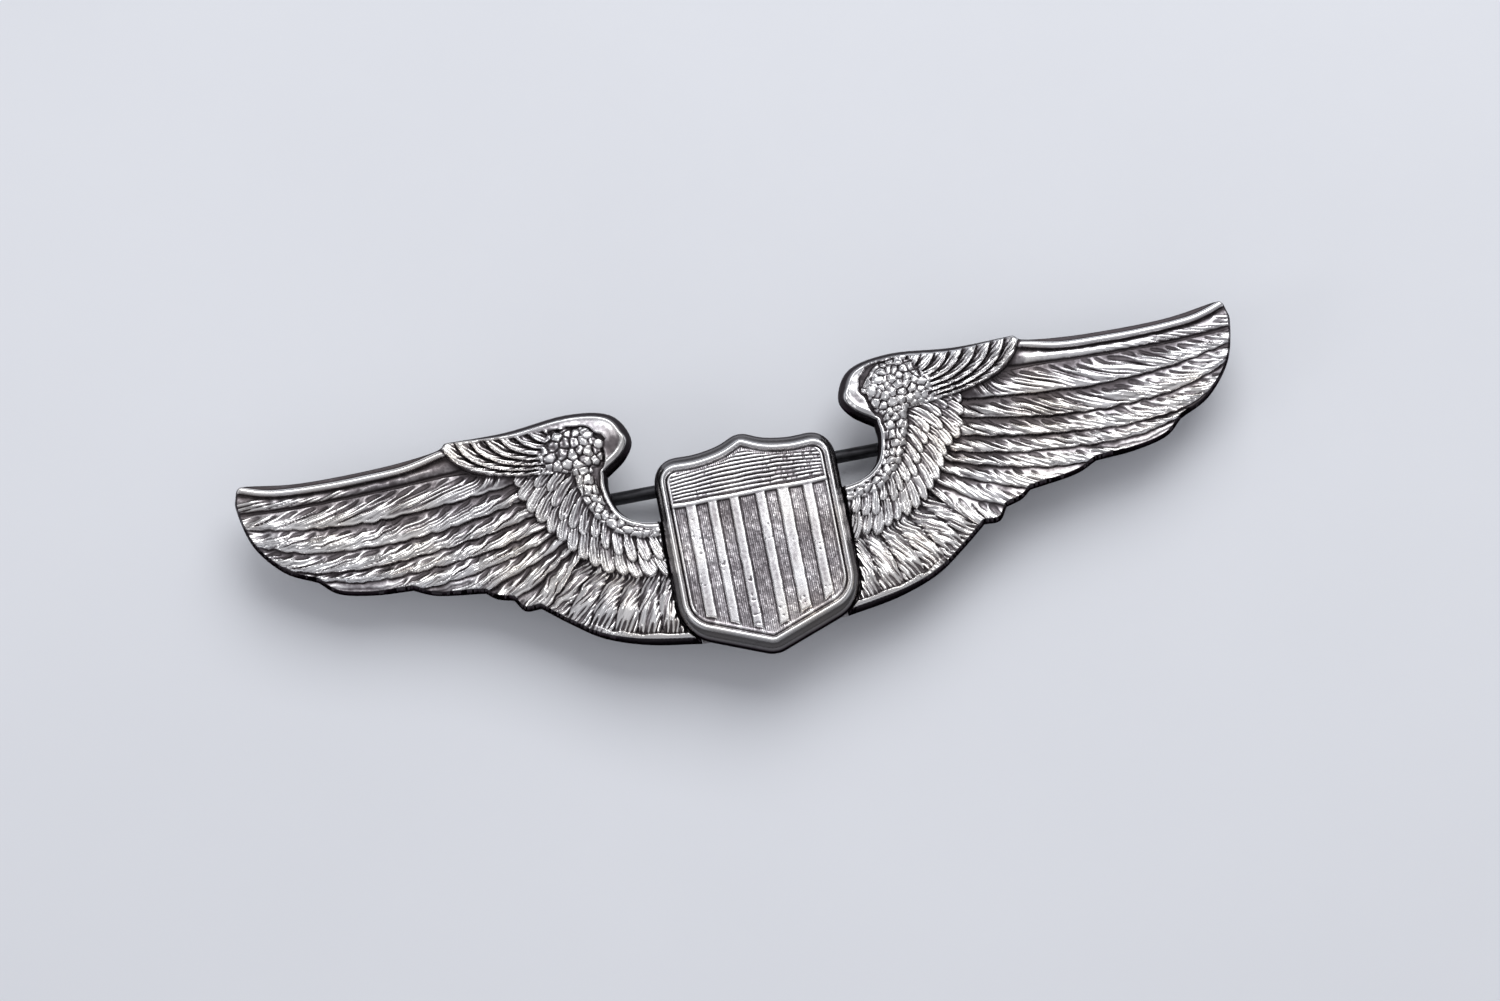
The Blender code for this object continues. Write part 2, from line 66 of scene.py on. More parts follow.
# ---- Wing outline, as in the CAD but for its rounded tip: smooth stretches between corners ----
WING_EDGE = (
    ((5.55, 2.9), (8.2, 3.2), (9.7, 4.2), (10.25, 5.9), (10.2, 7.1)),
    ((10.2, 7.1), (8.6, 8.3), (7.95, 9.8), (9.2, 11.8), (12.5, 12.42), (17.2, 11.97), (21.8, 12.02)),
    ((21.8, 12.02), (22.8, 11.5), (27.0, 11.1), (33.0, 11.08), (37.1, 11.62)),
    ((37.1, 11.62), (37.55, 11.62), (37.85, 11.42), (38.0, 11.0)),
    ((38.0, 11.0), (38.12, 9.9), (37.35, 7.0), (35.4, 4.6), (33.0, 3.35)),
    ((33.0, 3.35), (31.6, 2.2), (29.0, 1.6), (26.1, 1.4)),
    ((26.1, 1.4), (24.3, 0.65), (20.8, 0.15)),
    ((20.8, 0.15), (20.0, -0.45), (18.8, -0.8)),
    ((18.8, -0.8), (18.1, -1.75), (16.9, -1.8)),
    ((16.9, -1.8), (14.9, -3.4), (12.6, -4.95), (9.4, -6.05), (5.55, -6.7)),
)

# ---- Grooves between the flight feathers, from the leading edge down ----
GROOVES = (
    ((22.2, 10.75), (25.0, 10.15), (28.0, 10.0), (31.0, 9.97), (34.0, 10.1), (36.0, 10.4), (38.6, 11.3)),
    ((20.3, 9.3), (23.0, 9.3), (27.0, 9.15), (31.0, 9.08), (34.5, 9.1), (38.6, 9.35)),
    ((16.0, 7.8), (20.0, 7.35), (23.0, 7.1), (26.0, 6.88), (29.0, 6.9), (32.0, 7.15), (35.0, 7.6),
     (38.8, 8.5)),
    ((16.0, 6.45), (20.0, 5.72), (23.0, 5.25), (26.0, 5.02), (29.0, 5.0), (32.0, 5.25), (34.5, 5.75),
     (38.0, 7.2)),
    ((15.8, 5.05), (19.0, 4.45), (22.0, 4.0), (25.0, 3.68), (28.0, 3.48), (31.0, 3.6), (33.5, 4.05),
     (37.2, 5.6)),
    ((15.2, 4.0), (18.0, 3.35), (21.0, 2.88), (24.0, 2.6), (27.0, 2.45), (30.0, 2.6), (33.6, 3.5)),
    ((14.8, 3.3), (17.5, 2.45), (20.0, 1.85), (22.5, 1.4), (26.8, 1.15)),
    ((14.3, 2.55), (16.5, 1.55), (18.5, 0.8), (21.4, -0.15)),
    ((13.9, 1.8), (15.5, 0.7), (17.0, -0.2), (19.6, -1.2)),
    ((13.3, 1.2), (14.6, -0.3), (15.7, -1.4), (17.2, -2.6)),
)
SECONDARY_ROOTS = ((13.3, 1.2), (12.0, -0.2), (10.3, -0.9), (8.4, -1.2), (6.4, -1.2))
SECONDARY_TIPS = ((17.2, -2.6), (14.7, -4.4), (12.0, -5.8), (9.4, -6.7), (6.2, -7.2))
SECONDARY_COUNT = 7

# ---- Rows of small feathers and scales ----
COVERT_ROOTS = ((15.3, 8.3), (14.4, 7.8), (13.7, 7.35), (13.4, 6.6), (12.7, 5.4), (12.1, 4.4), (11.5, 3.6),
                (10.6, 2.8), (9.6, 2.2), (8.6, 1.8), (7.6, 1.6))
COVERT_TIPS = ((17.0, 7.5), (16.8, 6.2), (16.2, 5.0), (15.3, 3.9), (14.5, 2.7), (13.5, 1.5), (12.4, 0.4),
               (11.2, -0.3), (10.0, -0.8), (8.6, -1.15), (7.0, -1.25))
NECK = ((14.2, 9.3), (12.6, 8.9), (11.9, 7.6), (11.65, 6.0), (11.4, 4.8), (10.8, 3.7), (9.9, 2.8), (8.6, 2.3),
        (7.0, 2.1))
UPPER_TIPS = ((12.6, 11.9), (22.15, 11.85))
UPPER_INNER = ((11.9, 10.9), (12.7, 10.4), (13.3, 9.7), (14.2, 9.0), (15.6, 8.0))
UPPER_COUNT = 10
HEAD_CENTRE = (10.9, 9.7)
HEAD_FRONT = radians(160)  # the way that the head faces
HEAD_SWELL = (10.6, 10.1)  # its highest place
HEAD_SCALES = (((10.4, 9.4), (0.4, 0.4)), ((11.1, 10.2), (0.5, 0.32)))  # centre, half sizes
SCALE_PATCHES = (  # strength, centre, half sizes
    (1.2, (12.3, 9.75), (2.1, 1.35)),
    (1.0, (13.2, 8.6), (1.7, 1.0)),
    (2.2, (11.2, 10.0), (3.3, 2.4)),
)
CROWN_LEAST = 0.62  # width of the crown where it is narrowest

# ---- Heights above the wing's back, depths and pitches of the relief ----
BAR_TOP = 1.0  # foot of the rounded leading bar
BAR_ROUND = 0.4  # and its rise
BAND_TOP = 0.9
BAND_SWELL = 0.25
PRIMARY_TOP = 0.88
PRIMARY_LAP = 0.24  # rise across a primary to the edge that laps the next one
LEAF_PITCH, LEAF_RISE = 1.0, 0.29
BARB_PITCH, BARB_RISE = 0.31, 0.12
NICK_DEPTH = 0.1
SECONDARY_TOP = 0.92
GROOVE_DEPTH = 0.11
GROOVE_HALF = 0.09
UPPER_TOP = 1.42
SCALE_TOP = 1.5
CROWN_TOP = 1.78
STRIP_TOP = 1.46  # smooth strip inside the neck
BED_TOP = 1.22  # ground under the neck's scales
LANE_LIMIT = 2.5  # widest that a feather's half is counted
MIDWAY = 0.6  # where barbs are full
COVERT_SWEEP = 14.0  # length of the line of the coverts' tips
# each row of coverts: set back towards the neck, reach, height, half width over spacing
COVERT_ROWS = ((0.0, 1.0, 1.18, 0.54), (0.32, 0.82, 1.26, 0.4))

# ---- The two wings, struck from different dies ----
# node: the CAD wing that it stands for. seed: of its random marks. mirror: drawn on the -X side.
# broad, brim: width of its head's smooth crown, at the front and along the top. brow: crown's outer end.
# slant: how far its barbs trail. lobes: depth of its feathers' scalloped edges. coverts: how many.
# necklace: width of its neck's scales. pebble: size of a scale. dull: patina of the band below its
# leading bar. shine: painted light on its head, inner half and outer half, lighter or darker.
Wing = namedtuple("Wing", "node seed mirror broad brim brow slant lobes coverts necklace pebble dull shine")
WINGS = (
    Wing("right_wing", 11, False, 1.6, 0.8, 12.3, 2.2, 0.05, 17, 1.1, 0.62, -0.08, (0.07, 0.08, -0.12)),
    Wing("left_wing", 211, True, 2.0, 2.0, 19.5, 3.0, 0.1, 14, 0.8, 0.72, 0.3, (-0.12, 0.0, -0.04)),
)

# ---- Struck edge ----
EDGE_FOOT = 0.3  # upright part of the wing's side
EDGE_RUN = 0.18  # width of the wall round the sculpted face
EDGE_SLOPE = 2.5  # along the head and the top of the wing
EDGE_STEEP = 5.5  # everywhere else
WING_GRID = 0.052  # spacing of the sculpted points
SHIELD_GRID = 0.045
BACK_INSET = 0.04  # broken edge of the flat backs
BACK_POLISH = 0.5
RING_RELIEF = 0.75
ROUNDING = 0.2  # of the edge's shoulder
UNDER_SHIELD = 0.9  # height of the wing under the shield

# ---- Shield, as in the CAD ----
SHIELD_HALF_WIDTH = 6.3
SHIELD_PEAK_Y = 7.45
SHIELD_TIP_X = -0.25  # the tip is cut a little to one side
SHIELD_TIP_Y = -7.9
SHOULDER_R, SHOULDER_Y = 1.1, 5.35
FOOT_R, FOOT_Y, FOOT_SWEEP = 2.3, -3.9, radians(71)
CREST_POINTS = 480
RIM_GROW = (0.6, 0.88)  # how far the rim's foot stands outside its crest, in X and Y
SHIELD_Z = shield_high.z / MM  # rim's crest
SHIELD_BACK_Z = shield_low.z / MM
RIVET_HOLE_R = 0.63
RIVET_HOLE_SPARE = 0.05  # depth of a rivet's hole beyond the rivet
RIM_INSIDE = 0.36  # rim's crest to the edge of the sunk field
# rim's rings from the field out to its crest and from there to its foot: place, drop,
# polish_and_painted_shade (low on the outer slope, painted dark as shade)
RIM_INNER = ((0.3, 0.3, 0.2), (0.24, 0.2, 0.8), (0.17, 0.08, 1.0), (0.08, 0.01, 1.0), (0.0, 0.0, 1.0))
RIM_OUTER = ((0.08, 0.02, 1.0), (0.18, 0.1, 0.8), (0.28, 0.22, 0.25), (0.4, 0.32, 0.15), (0.55, 0.41, 0.2),
             (0.7, 0.52, 0.2), (0.83, 0.66, 0.1), (0.94, 0.85, 0.0), (1.0, 1.1, 0.0))
FIELD_Z = SHIELD_Z - 0.38
STRIPE_RISE = 0.22
BAR_RISE = 0.26
BAR_Y = 3.5
LINE_PITCH = 0.29
LINE_RISE = 0.16
HATCH_PITCH, HATCH_DASH = 0.15, 0.35
HATCH_RISE = 0.07
FRAME_RISE = 0.16
SHIELD_SEED = 501
STRIPES = ((-4.95, -4.05), (-3.25, -2.45), (-1.6, -0.8), (0.35, 1.2), (2.0, 3.0), (3.95, 4.8))

# ---- Findings: body, slot, nodes ----
BEVEL = 0.05  # their broken edges
FINDINGS = (
    ("badge", "dark_silver", "centre_plate shield_rivet_left shield_rivet_right hinge_patch hinge_bracket"),
    ("badge", "pin_steel", "hinge_rivet"),
    ("badge", "dark_silver", "catch_patch catch_housing"),
    ("catch_sleeve", "dark_silver", "catch_rotor"),
    ("pin", "pin_steel", "pin_knuckle pin_stem"),
)

# ---- Colours; the silver's run from its deepest cuts, dark with patina and painted shade, to its worn places ----
SILVER_STOPS = ((0.06, (0.07, 0.061, 0.065)), (0.32, (0.14, 0.126, 0.135)), (0.5, (0.38, 0.36, 0.375)),
                (0.67, (0.86, 0.85, 0.85)))
WARM_TARNISH = (1.0, 0.93, 0.8)
# walls: patina and painted shade in their colour, and a dark tint on their reflection as painted shade
WALL_PATINA_AND_SHADE = (0.06, 0.053, 0.058)
WALL_SHADED_SHEEN = (0.25, 0.24, 0.25)
PALE_SHEEN = (1.0, 1.0, 1.0)
METALS = {  # light and dark colours, roughness, stretch of the surface marks
    "dark_silver": ((0.3, 0.28, 0.28), (0.1, 0.09, 0.09), 0.35, (1, 1, 1)),
    # the pin's near-black colours are painted shade, for a pin lying in the badge's shadow
    "pin_steel": ((0.05, 0.05, 0.054), (0.022, 0.021, 0.023), 0.36, (0.1, 1, 1)),
}
PAPER = ((0.74, 0.755, 0.79), (0.77, 0.785, 0.82))

# ---- Camera and lights ----
CAMERA_AZIMUTH = -5.0
CAMERA_ELEVATION = 78.0
SPAN_TILT = 10.8  # slope of the span in the picture
CAMERA_DISTANCE = 400.0
SENSOR = 36.0
PICTURE_SPAN = 112.0  # width of the picture at the badge
AIM = (-0.63, 2.95)  # picture's centre, right of and above the shield's mark
FEATHER_FACE = 1.4  # height of the wing's face above its back
FLOOR_HALF = 1.5  # metres
SKY_LOW = (0.13, 0.13, 0.14)
SKY_HIGH = (0.6, 0.605, 0.64)
LIGHT_COLOUR = (0.975, 0.985, 1.0)
LIGHTS = (  # name, place in metres, side in metres, radiance
    ("key", (0.1, 0.24, 0.34), 0.34, 3.4),
    ("side", (-0.34, -0.06, 0.2), 0.12, 2.5),
)


# ---- Curves ----
def spline(points, steps=6):
    """Catmull-Rom curve through points, both ends included."""
    knots = np.array(points, float)
    knots = np.vstack((2 * knots[0] - knots[1], knots, 2 * knots[-1] - knots[-2]))
    curve = []
    for a, b, c, d in zip(knots, knots[1:], knots[2:], knots[3:]):
        for t in np.arange(steps) / steps:
            curve.append(0.5 * (2 * b + (c - a) * t + (2 * a - 5 * b + 4 * c - d) * t * t
                                + (3 * b - a - 3 * c + d) * t ** 3))
    curve.append(knots[-2])
    return np.array(curve)


def spaced(curve, count, closed=False):
    """That many points, evenly spaced along a polyline. The last is left out if it is closed."""
    length = np.concatenate(([0], np.cumsum(np.hypot(*np.diff(curve, axis=0).T))))
    at = np.linspace(0, length[-1], count, endpoint=not closed)
    return np.stack([np.interp(at, length, curve[:, axis]) for axis in (0, 1)], 1)


def resample(points, count):
    """That many points, evenly spaced along the smooth curve through points."""
    return spaced(spline(points), count)


def bezier(start, control, end, count=12):
    """Quadratic curve of that many points."""
    t = np.linspace(0, 1, count)[:, None]
    return (1 - t) ** 2 * np.array(start) + 2 * t * (1 - t) * np.array(control) + t * t * np.array(end)


def track(curve, u, v):
    """Distance along an open curve and to its left, signed, for each point, and the curve's length."""
    best = np.full(u.shape, np.inf)
    along = np.zeros(u.shape)
    sign = np.zeros(u.shape)
    length = 0.0
    for (au, av), (bu, bv) in zip(curve, curve[1:]):
        du, dv = bu - au, bv - av
        span = np.hypot(du, dv)
        pu, pv = u - au, v - av
        t = np.clip((pu * du + pv * dv) / span ** 2, 0, 1)
        gap = (pu - t * du) ** 2 + (pv - t * dv) ** 2
        closer = gap < best
        best = np.where(closer, gap, best)
        along = np.where(closer, length + t * span, along)
        sign = np.where(closer, np.where(du * pv - dv * pu < 0, -1.0, 1.0), sign)
        length += span
    return along, sign * np.sqrt(best), length


def track_all(curves, u, v):
    """The same for a row of curves, as three arrays."""
    return (np.array(part) for part in zip(*(track(curve, u, v) for curve in curves)))


def rise(low, high, x):
    """0 below low, 1 above high, smooth between them."""
    t = np.clip((x - low) / (high - low), 0, 1)
    return t * t * (3 - 2 * t)


def fall(low, high, x):
    """1 below low, 0 above high, smooth between them."""
    return 1 - rise(low, high, x)


def bump(distance, width):
    """Smooth hill, 1 in the middle."""
    return np.exp(-(distance / width) ** 2)


# ---- Repeatable randomness ----
def hash01(i, j, seed):
    """A random number from 0 to 1 for each pair of whole numbers."""
    n = (np.asarray(i).astype(np.int64) * 73856093) ^ (np.asarray(j).astype(np.int64) * 19349663)
    n = (n ^ (seed * 83492791)) & 0x7FFFFFFF
    n = ((n ^ (n >> 13)) * 1274126177) & 0x7FFFFFFF
    n = ((n ^ (n >> 15)) * 668265263) & 0x7FFFFFFF
    return ((n ^ (n >> 16)) & 0xFFFF) / 65535.0


def noise(u, v, size, seed):
    """Smooth noise from -1 to 1 with blobs of that size."""
    x, y = u / size, v / size
    i, j = np.floor(x), np.floor(y)
    fx, fy = rise(0, 1, x - i), rise(0, 1, y - j)
    low = hash01(i, j, seed) * (1 - fx) + hash01(i + 1, j, seed) * fx
    high = hash01(i, j + 1, seed) * (1 - fx) + hash01(i + 1, j + 1, seed) * fx
    return 2 * (low * (1 - fy) + high * fy) - 1


# ---- A plate cut to an outline, as a grid of points ----
class Blank:
    """Square grid clipped to a closed loop, with its border points moved onto the loop."""

    def __init__(self, loop, pitch):
        self.pitch = pitch
        low, high = loop.min(0) - 2 * pitch, loop.max(0) + 3 * pitch
        grid_u, grid_v = np.meshgrid(np.arange(low[0], high[0], pitch), np.arange(low[1], high[1], pitch))
        u, v = grid_u.ravel(), grid_v.ravel()
        depth, near_u, near_v, place = self.depth_inside(loop, u, v)
        snapped = np.abs(depth) < 0.5 * pitch
        u, v = np.where(snapped, near_u, u), np.where(snapped, near_v, v)
        depth = np.where(snapped, 0.0, depth)
        keep = (depth > 0) | snapped
        self.make_cells(keep.reshape(grid_u.shape), snapped)
        self.shape = grid_u.shape
        self.keep = keep
        self.u, self.v, self.depth, self.place = u[keep], v[keep], depth[keep], place[keep]

    @staticmethod
    def depth_inside(loop, u, v):
        """Distance inside the loop, the nearest point on it, and that point's place along it."""
        best = np.full(u.shape, np.inf)
        near_u, near_v, place = np.zeros(u.shape), np.zeros(u.shape), np.zeros(u.shape)
        inside = np.zeros(u.shape, bool)
        for i, ((au, av), (bu, bv)) in enumerate(zip(loop, np.roll(loop, -1, 0))):
            du, dv = bu - au, bv - av
            t = np.clip(((u - au) * du + (v - av) * dv) / (du * du + dv * dv), 0, 1)
            pu, pv = au + t * du, av + t * dv
            gap = (u - pu) ** 2 + (v - pv) ** 2
            closer = gap < best
            best = np.where(closer, gap, best)
            near_u, near_v = np.where(closer, pu, near_u), np.where(closer, pv, near_v)
            place = np.where(closer, i + t, place)
            if av != bv:
                inside ^= ((av > v) != (bv > v)) & (u < du * (v - av) / dv + au)
        return np.where(inside, 1, -1) * np.sqrt(best), near_u, near_v, place

    def make_cells(self, keep, snapped):
        """Squares and border triangles between the kept points, none wholly on the border."""
        number = np.full(keep.size, -1)
        number[keep.ravel()] = np.arange(keep.sum())
        spot = np.arange(keep.size).reshape(keep.shape)
        corners = np.stack((spot[:-1, :-1], spot[:-1, 1:], spot[1:, 1:], spot[1:, :-1]), -1).reshape(-1, 4)
        kept = keep.ravel()[corners]
        free = ~snapped[corners]
        quads = corners[kept.all(1) & free.any(1)]
        three = (kept.sum(1) == 3) & (kept & free).any(1)
        triangles = corners[three][kept[three]].reshape(-1, 3)
        self.quads, self.triangles = number[quads], number[triangles]

    def blur(self, values, sigma):
        """Average of the neighbours within the outline, by a bell curve of sigma millimetres."""
        total = np.zeros(self.keep.size)
        total[self.keep] = values
        weight = self.keep.astype(float)
        reach = int(np.ceil(2.5 * sigma / self.pitch))
        bell = np.exp(-0.5 * (np.arange(-reach, reach + 1) * self.pitch / sigma) ** 2)
        bell /= bell.sum()
        out = []
        for image in (total.reshape(self.shape), weight.reshape(self.shape)):
            for axis in (0, 1):
                image = np.apply_along_axis(np.convolve, axis, image, bell, mode="same")
            out.append(image.ravel()[self.keep])
        return out[0] / np.maximum(out[1], 1e-6)

    def relief(self, z):
        """How proud each point stands of its surroundings, about 0.5 where it is level with them."""
        # the silver is painted darker where this is low: patina in the hollows and painted shade below each
        # raised step
        near = (z - self.blur(z, 0.14)) / 0.08
        wide = (z - self.blur(z, 0.65)) / 0.2
        return np.clip(0.52 + 0.32 * near + 0.3 * wide, 0, 1)

    def solid(self, name, z, rings, paints, mirror=False):
        """Closed body: the height field z in front, then rings out and down, then a flat back.

        Each ring is a loop with as many points as the outline, its height and its polish_and_painted_shade:
        how much of the silver it keeps rather than the walls' patina and painted shade.
        """
        sign = -1.0 if mirror else 1.0
        verts = np.stack((sign * self.u, self.v + CENTRE_Y, z), 1) * MM
        faces = [tuple(f) for f in self.quads] + [tuple(f) for f in self.triangles]
        if mirror:
            faces = [f[::-1] for f in faces]
        data = bpy.data.meshes.new(name)
        data.from_pydata(verts.tolist(), [], faces)
        for label, values in dict(paints, place=self.place).items():
            data.attributes.new(label, "FLOAT", "POINT").data.foreach_set("value", values.astype(np.float32))
        mesh = bmesh.new()
        mesh.from_mesh(data)
        place = mesh.verts.layers.float["place"]
        face = mesh.verts.layers.float["face"]
        relief = mesh.verts.layers.float["relief"]
        border = [e for e in mesh.edges if e.is_boundary]
        for ring, height, polish_and_painted_shade in rings:
            made = bmesh.ops.extrude_edge_only(mesh, edges=border)["geom"]
            new = [g for g in made if isinstance(g, bmesh.types.BMVert)]
            spots = on_loop(ring, np.array([vert[place] for vert in new]))
            for vert, (x, y) in zip(new, spots):
                vert.co = Vector((sign * x, y + CENTRE_Y, height)) * MM
                vert[face] = polish_and_painted_shade
                vert[relief] = RING_RELIEF
            border = [g for g in made if isinstance(g, bmesh.types.BMEdge) and g.is_boundary]
        back = bmesh.ops.contextual_create(mesh, geom=border)["faces"]
        for flat in back:
            flat.smooth = False
        mesh.verts.layers.float.remove(place)
        mesh.to_mesh(data)
        mesh.free()
        data.shade_smooth()
        data.set_sharp_from_angle(angle=radians(70))
        return add_object(name, data)


def on_loop(loop, places):
    """Points at places along a closed loop, where the whole numbers are its own points."""
    i = np.floor(places).astype(int) % len(loop)
    t = (places - np.floor(places))[:, None]
    return loop[i] * (1 - t) + loop[(i + 1) % len(loop)] * t


# ---- Feathers ----
def strokes(phase, s, pitch, key, seed, smooth=0.0):
    """Barbs side by side: leaf-shaped ridges, each with its own height and ends, with fine cuts between."""
    cell = np.floor(phase / pitch)
    x = phase / pitch - cell
    peak = 0.4 + 0.4 * hash01(cell, key, seed)
    flank = np.where(x < peak, x / peak, (1 - x) / (1 - peak))
    start = smooth + 0.5 * hash01(cell, key, seed + 1) ** 1.5
    end = 0.82 + 0.25 * hash01(cell, key, seed + 2)
    leaf = rise(start - 0.05, start + 0.3, s) * fall(end - 0.14, end, s)
    cut = fall(0.0, 0.07, np.minimum(x, 1 - x) * pitch)
    height = 0.3 + 0.7 * hash01(cell, key, seed + 3)
    return leaf * (flank ** 0.75 * height - 0.7 * cut * hash01(cell, key, seed + 4))


def leaf_cuts(along, across, pitch, slant, key, seed):
    """Long leaf-shaped cuts side by side, which start near the feathers' roots and taper out."""
    place = (across + slant * along) / pitch
    cell = np.floor(place)
    start = 1.3 * hash01(cell, key, seed) - 0.3
    length = 1.5 + 2.6 * hash01(cell, key, seed + 1)
    part = np.clip((along - start) / length, 0, 1)
    half = 0.5 * np.sin(pi * part ** 0.7) * (0.5 + 0.5 * hash01(cell, key, seed + 2))
    return fall(half - 0.2, half + 0.02, np.abs(place - cell - 0.5))


def flight_grooves():
    """Curves between the leading bar, the band, the primaries and the secondaries, in that order."""
    curves = [spline(points, 10) for points in GROOVES]
    roots = resample(SECONDARY_ROOTS, SECONDARY_COUNT)
    tips = resample(SECONDARY_TIPS, SECONDARY_COUNT)
    for root, tip in zip(roots[1:], tips[1:]):
        across = np.array((tip[1] - root[1], root[0] - tip[0]))
        curves.append(bezier(root, 0.5 * (root + tip) - 0.1 * across, tip))
    return curves


Lane = namedtuple("Lane", "index travel finish above below width s swell wobble")


def find_lanes(u, v, seed, scallop):
    """Where each point lies among the flight feathers.

    index: grooves above it. travel, finish: how far along the groove below it, in mm and as a share.
    above, below: distances from both grooves. width: the feather's. s: place across it, from 0 to 1.
    swell: falls off at the feather's edges. wobble: a slow irregularity.
    """
    along, side, lengths = track_all(flight_grooves(), u, v)
    count = len(lengths)
    order = np.arange(count)[:, None]
    lobes = along / 1.7 + hash01(order, 0, seed) + 0.25 * noise(along, 9.0 * order, 1.5, seed + 12)
    side += scallop * (np.abs(np.sin(pi * lobes)) - 0.6) * ((order > 1) & (order < len(GROOVES)))
    side += 0.05 * noise(along, 9.0 * order, 0.5, seed + 14) * (order > 1)
    rows = np.arange(len(u))
    index = (side < 0).sum(0)
    lower = np.minimum(index, count - 1)
    above = np.where(index > 0, -side[np.maximum(index - 1, 0), rows], FAR)
    below = np.where(index < count, side[lower, rows], FAR)
    travel = along[lower, rows]
    width = np.minimum(above, LANE_LIMIT) + np.minimum(below, LANE_LIMIT)
    s = np.minimum(above, LANE_LIMIT) / width
    swell = np.sin(pi * np.clip(s, 0, 1)) ** 0.35
    wobble = 0.35 * noise(u, v, 2.0, seed) + 0.06 * noise(u, v, 0.7, seed + 5)
    return Lane(index, travel, travel / lengths[lower], above, below, width, s, swell, wobble)


def primaries(lane, barbs, place, trail, seed):
    """Feathers with tufts, barbs and nicks that trail outwards across them."""
    uneven = place + 0.18 * noise(place, 3.7 * lane.index, 0.6, seed + 11)
    leaves = strokes(uneven, lane.s, LEAF_PITCH, lane.index, seed, 0.1)
    length = lane.s * lane.width * trail
    nicks = np.maximum(leaf_cuts(length, place, 0.42, 0.06, lane.index, seed + 7),
                       leaf_cuts(length - 1.6, place, 0.33, -0.05, lane.index, seed + 9))
    lap = rise(0.0, 0.7, lane.s) * fall(0.95, 1.0, lane.s)
    marks = LEAF_RISE * leaves + BARB_RISE * barbs - NICK_DEPTH * nicks
    return PRIMARY_TOP + PRIMARY_LAP * lap + marks * lane.swell


def secondaries(lane, u, v, seed):
    """Broad feathers with leaf-shaped cuts along them, fewer towards their ends."""
    across = lane.above + 0.25 * lane.wobble
    cuts = np.maximum.reduce((leaf_cuts(lane.travel, across, 0.47, 0.3, lane.index, seed + 40),
                              leaf_cuts(lane.travel + 0.8, across, 0.33, 0.45, lane.index, seed + 50),
                              leaf_cuts(lane.travel - 2.7, across, 0.4, 0.35, lane.index, seed + 45)))
    ends = 1 - 0.7 * rise(0.8, 1.0, lane.finish + 0.15 * noise(u, v, 0.7, seed + 15))
    back = rise(0.0, 0.35, lane.s) * fall(0.75, 1.0, lane.s)
    streaks = strokes(across + 0.3 * lane.travel, MIDWAY, 0.21, lane.index, seed + 60)
    broad = SECONDARY_TOP + 0.16 * back + 0.16 * lane.finish
    return broad - 0.2 * cuts * ends + 0.06 * streaks * lane.swell


def leading_band(lane, barbs, u, v, seed):
    """Smooth band below the leading bar, barbed towards the wing's tip."""
    band = BAND_TOP + BAND_SWELL * np.sin(pi * np.clip(lane.s * 1.15, 0, 1)) ** 0.7
    band += 0.04 * noise(u, v, 0.45, seed + 6)
    barbed = rise(27.0, 32.0, u)
    return band + 0.2 * barbs * lane.swell * barbed - 0.12 * rise(0.8, 0.9, lane.s)


def flight_feathers(blank, seed, slant, scallop):
    """Leading bar, band, primaries and secondaries, each lapped over the next."""
    u, v = blank.u, blank.v
    lane = find_lanes(u, v, seed, scallop)
    trail = np.hypot(1, slant)
    place = (lane.travel - slant * lane.width * lane.s ** 1.3 + lane.wobble) / trail
    barbs = strokes(place, lane.s, BARB_PITCH, lane.index, seed + 20, 0.08)
    feather = np.where(lane.index >= len(GROOVES), secondaries(lane, u, v, seed),
                       primaries(lane, barbs, place, trail, seed))
    cut = GROOVE_DEPTH * (0.7 + 0.5 * noise(u, v, 1.3, seed + 13))
    feather -= cut * fall(0.0, GROOVE_HALF, np.minimum(lane.above, lane.below))
    feather += 0.05 * noise(u, v, 1.1, seed + 8)
    bar = BAR_TOP + BAR_ROUND * np.sqrt(np.clip(1 - ((lane.below - 0.3) / 0.3) ** 2, 0, 1))
    band = leading_band(lane, barbs, u, v, seed)
    return np.where(lane.index == 0, bar, np.where(lane.index == 1, band, feather))


def lay_feather(z, u, v, curve, half, level, key, seed):
    """Lay one small feather over the surface z: round tip, shaft, fine barbs, cut round its edge."""
    low, high = curve.min(0) - 1.5 * half - 0.3, curve.max(0) + 1.5 * half + 0.3
    near = np.flatnonzero((u > low[0]) & (u < high[0]) & (v > low[1]) & (v < high[1]))
    along, side, length = track(curve, u[near], v[near])
    t = along / length
    body = half * (0.55 + 0.45 * rise(0.0, 0.55, t))
    width = body * np.sqrt(np.clip(1 - (np.maximum(t - 0.75, 0) / 0.25) ** 2, 0, 1))
    x = side / np.maximum(width, 1e-3)
    gap = np.abs(side) - width
    z[near] -= 0.1 * fall(0.0, 0.1, gap) * (gap > 0) * rise(0.05, 0.3, t)
    ragged = 0.06 * noise(u[near], v[near], 0.5, seed)
    lines = strokes(side + 0.12 * along + ragged, MIDWAY, 0.23, key, seed)
    top = level + 0.07 * np.clip(1 - x ** 4, 0, 1) ** 0.5 + 0.14 * t + 0.07 * x + 0.13 * lines
    top -= 0.07 * bump(side + 0.25 * half + ragged, 0.06) * fall(0.7, 0.9, t)
    z[near] = np.where(gap < 0, np.maximum(z[near], top), z[near])


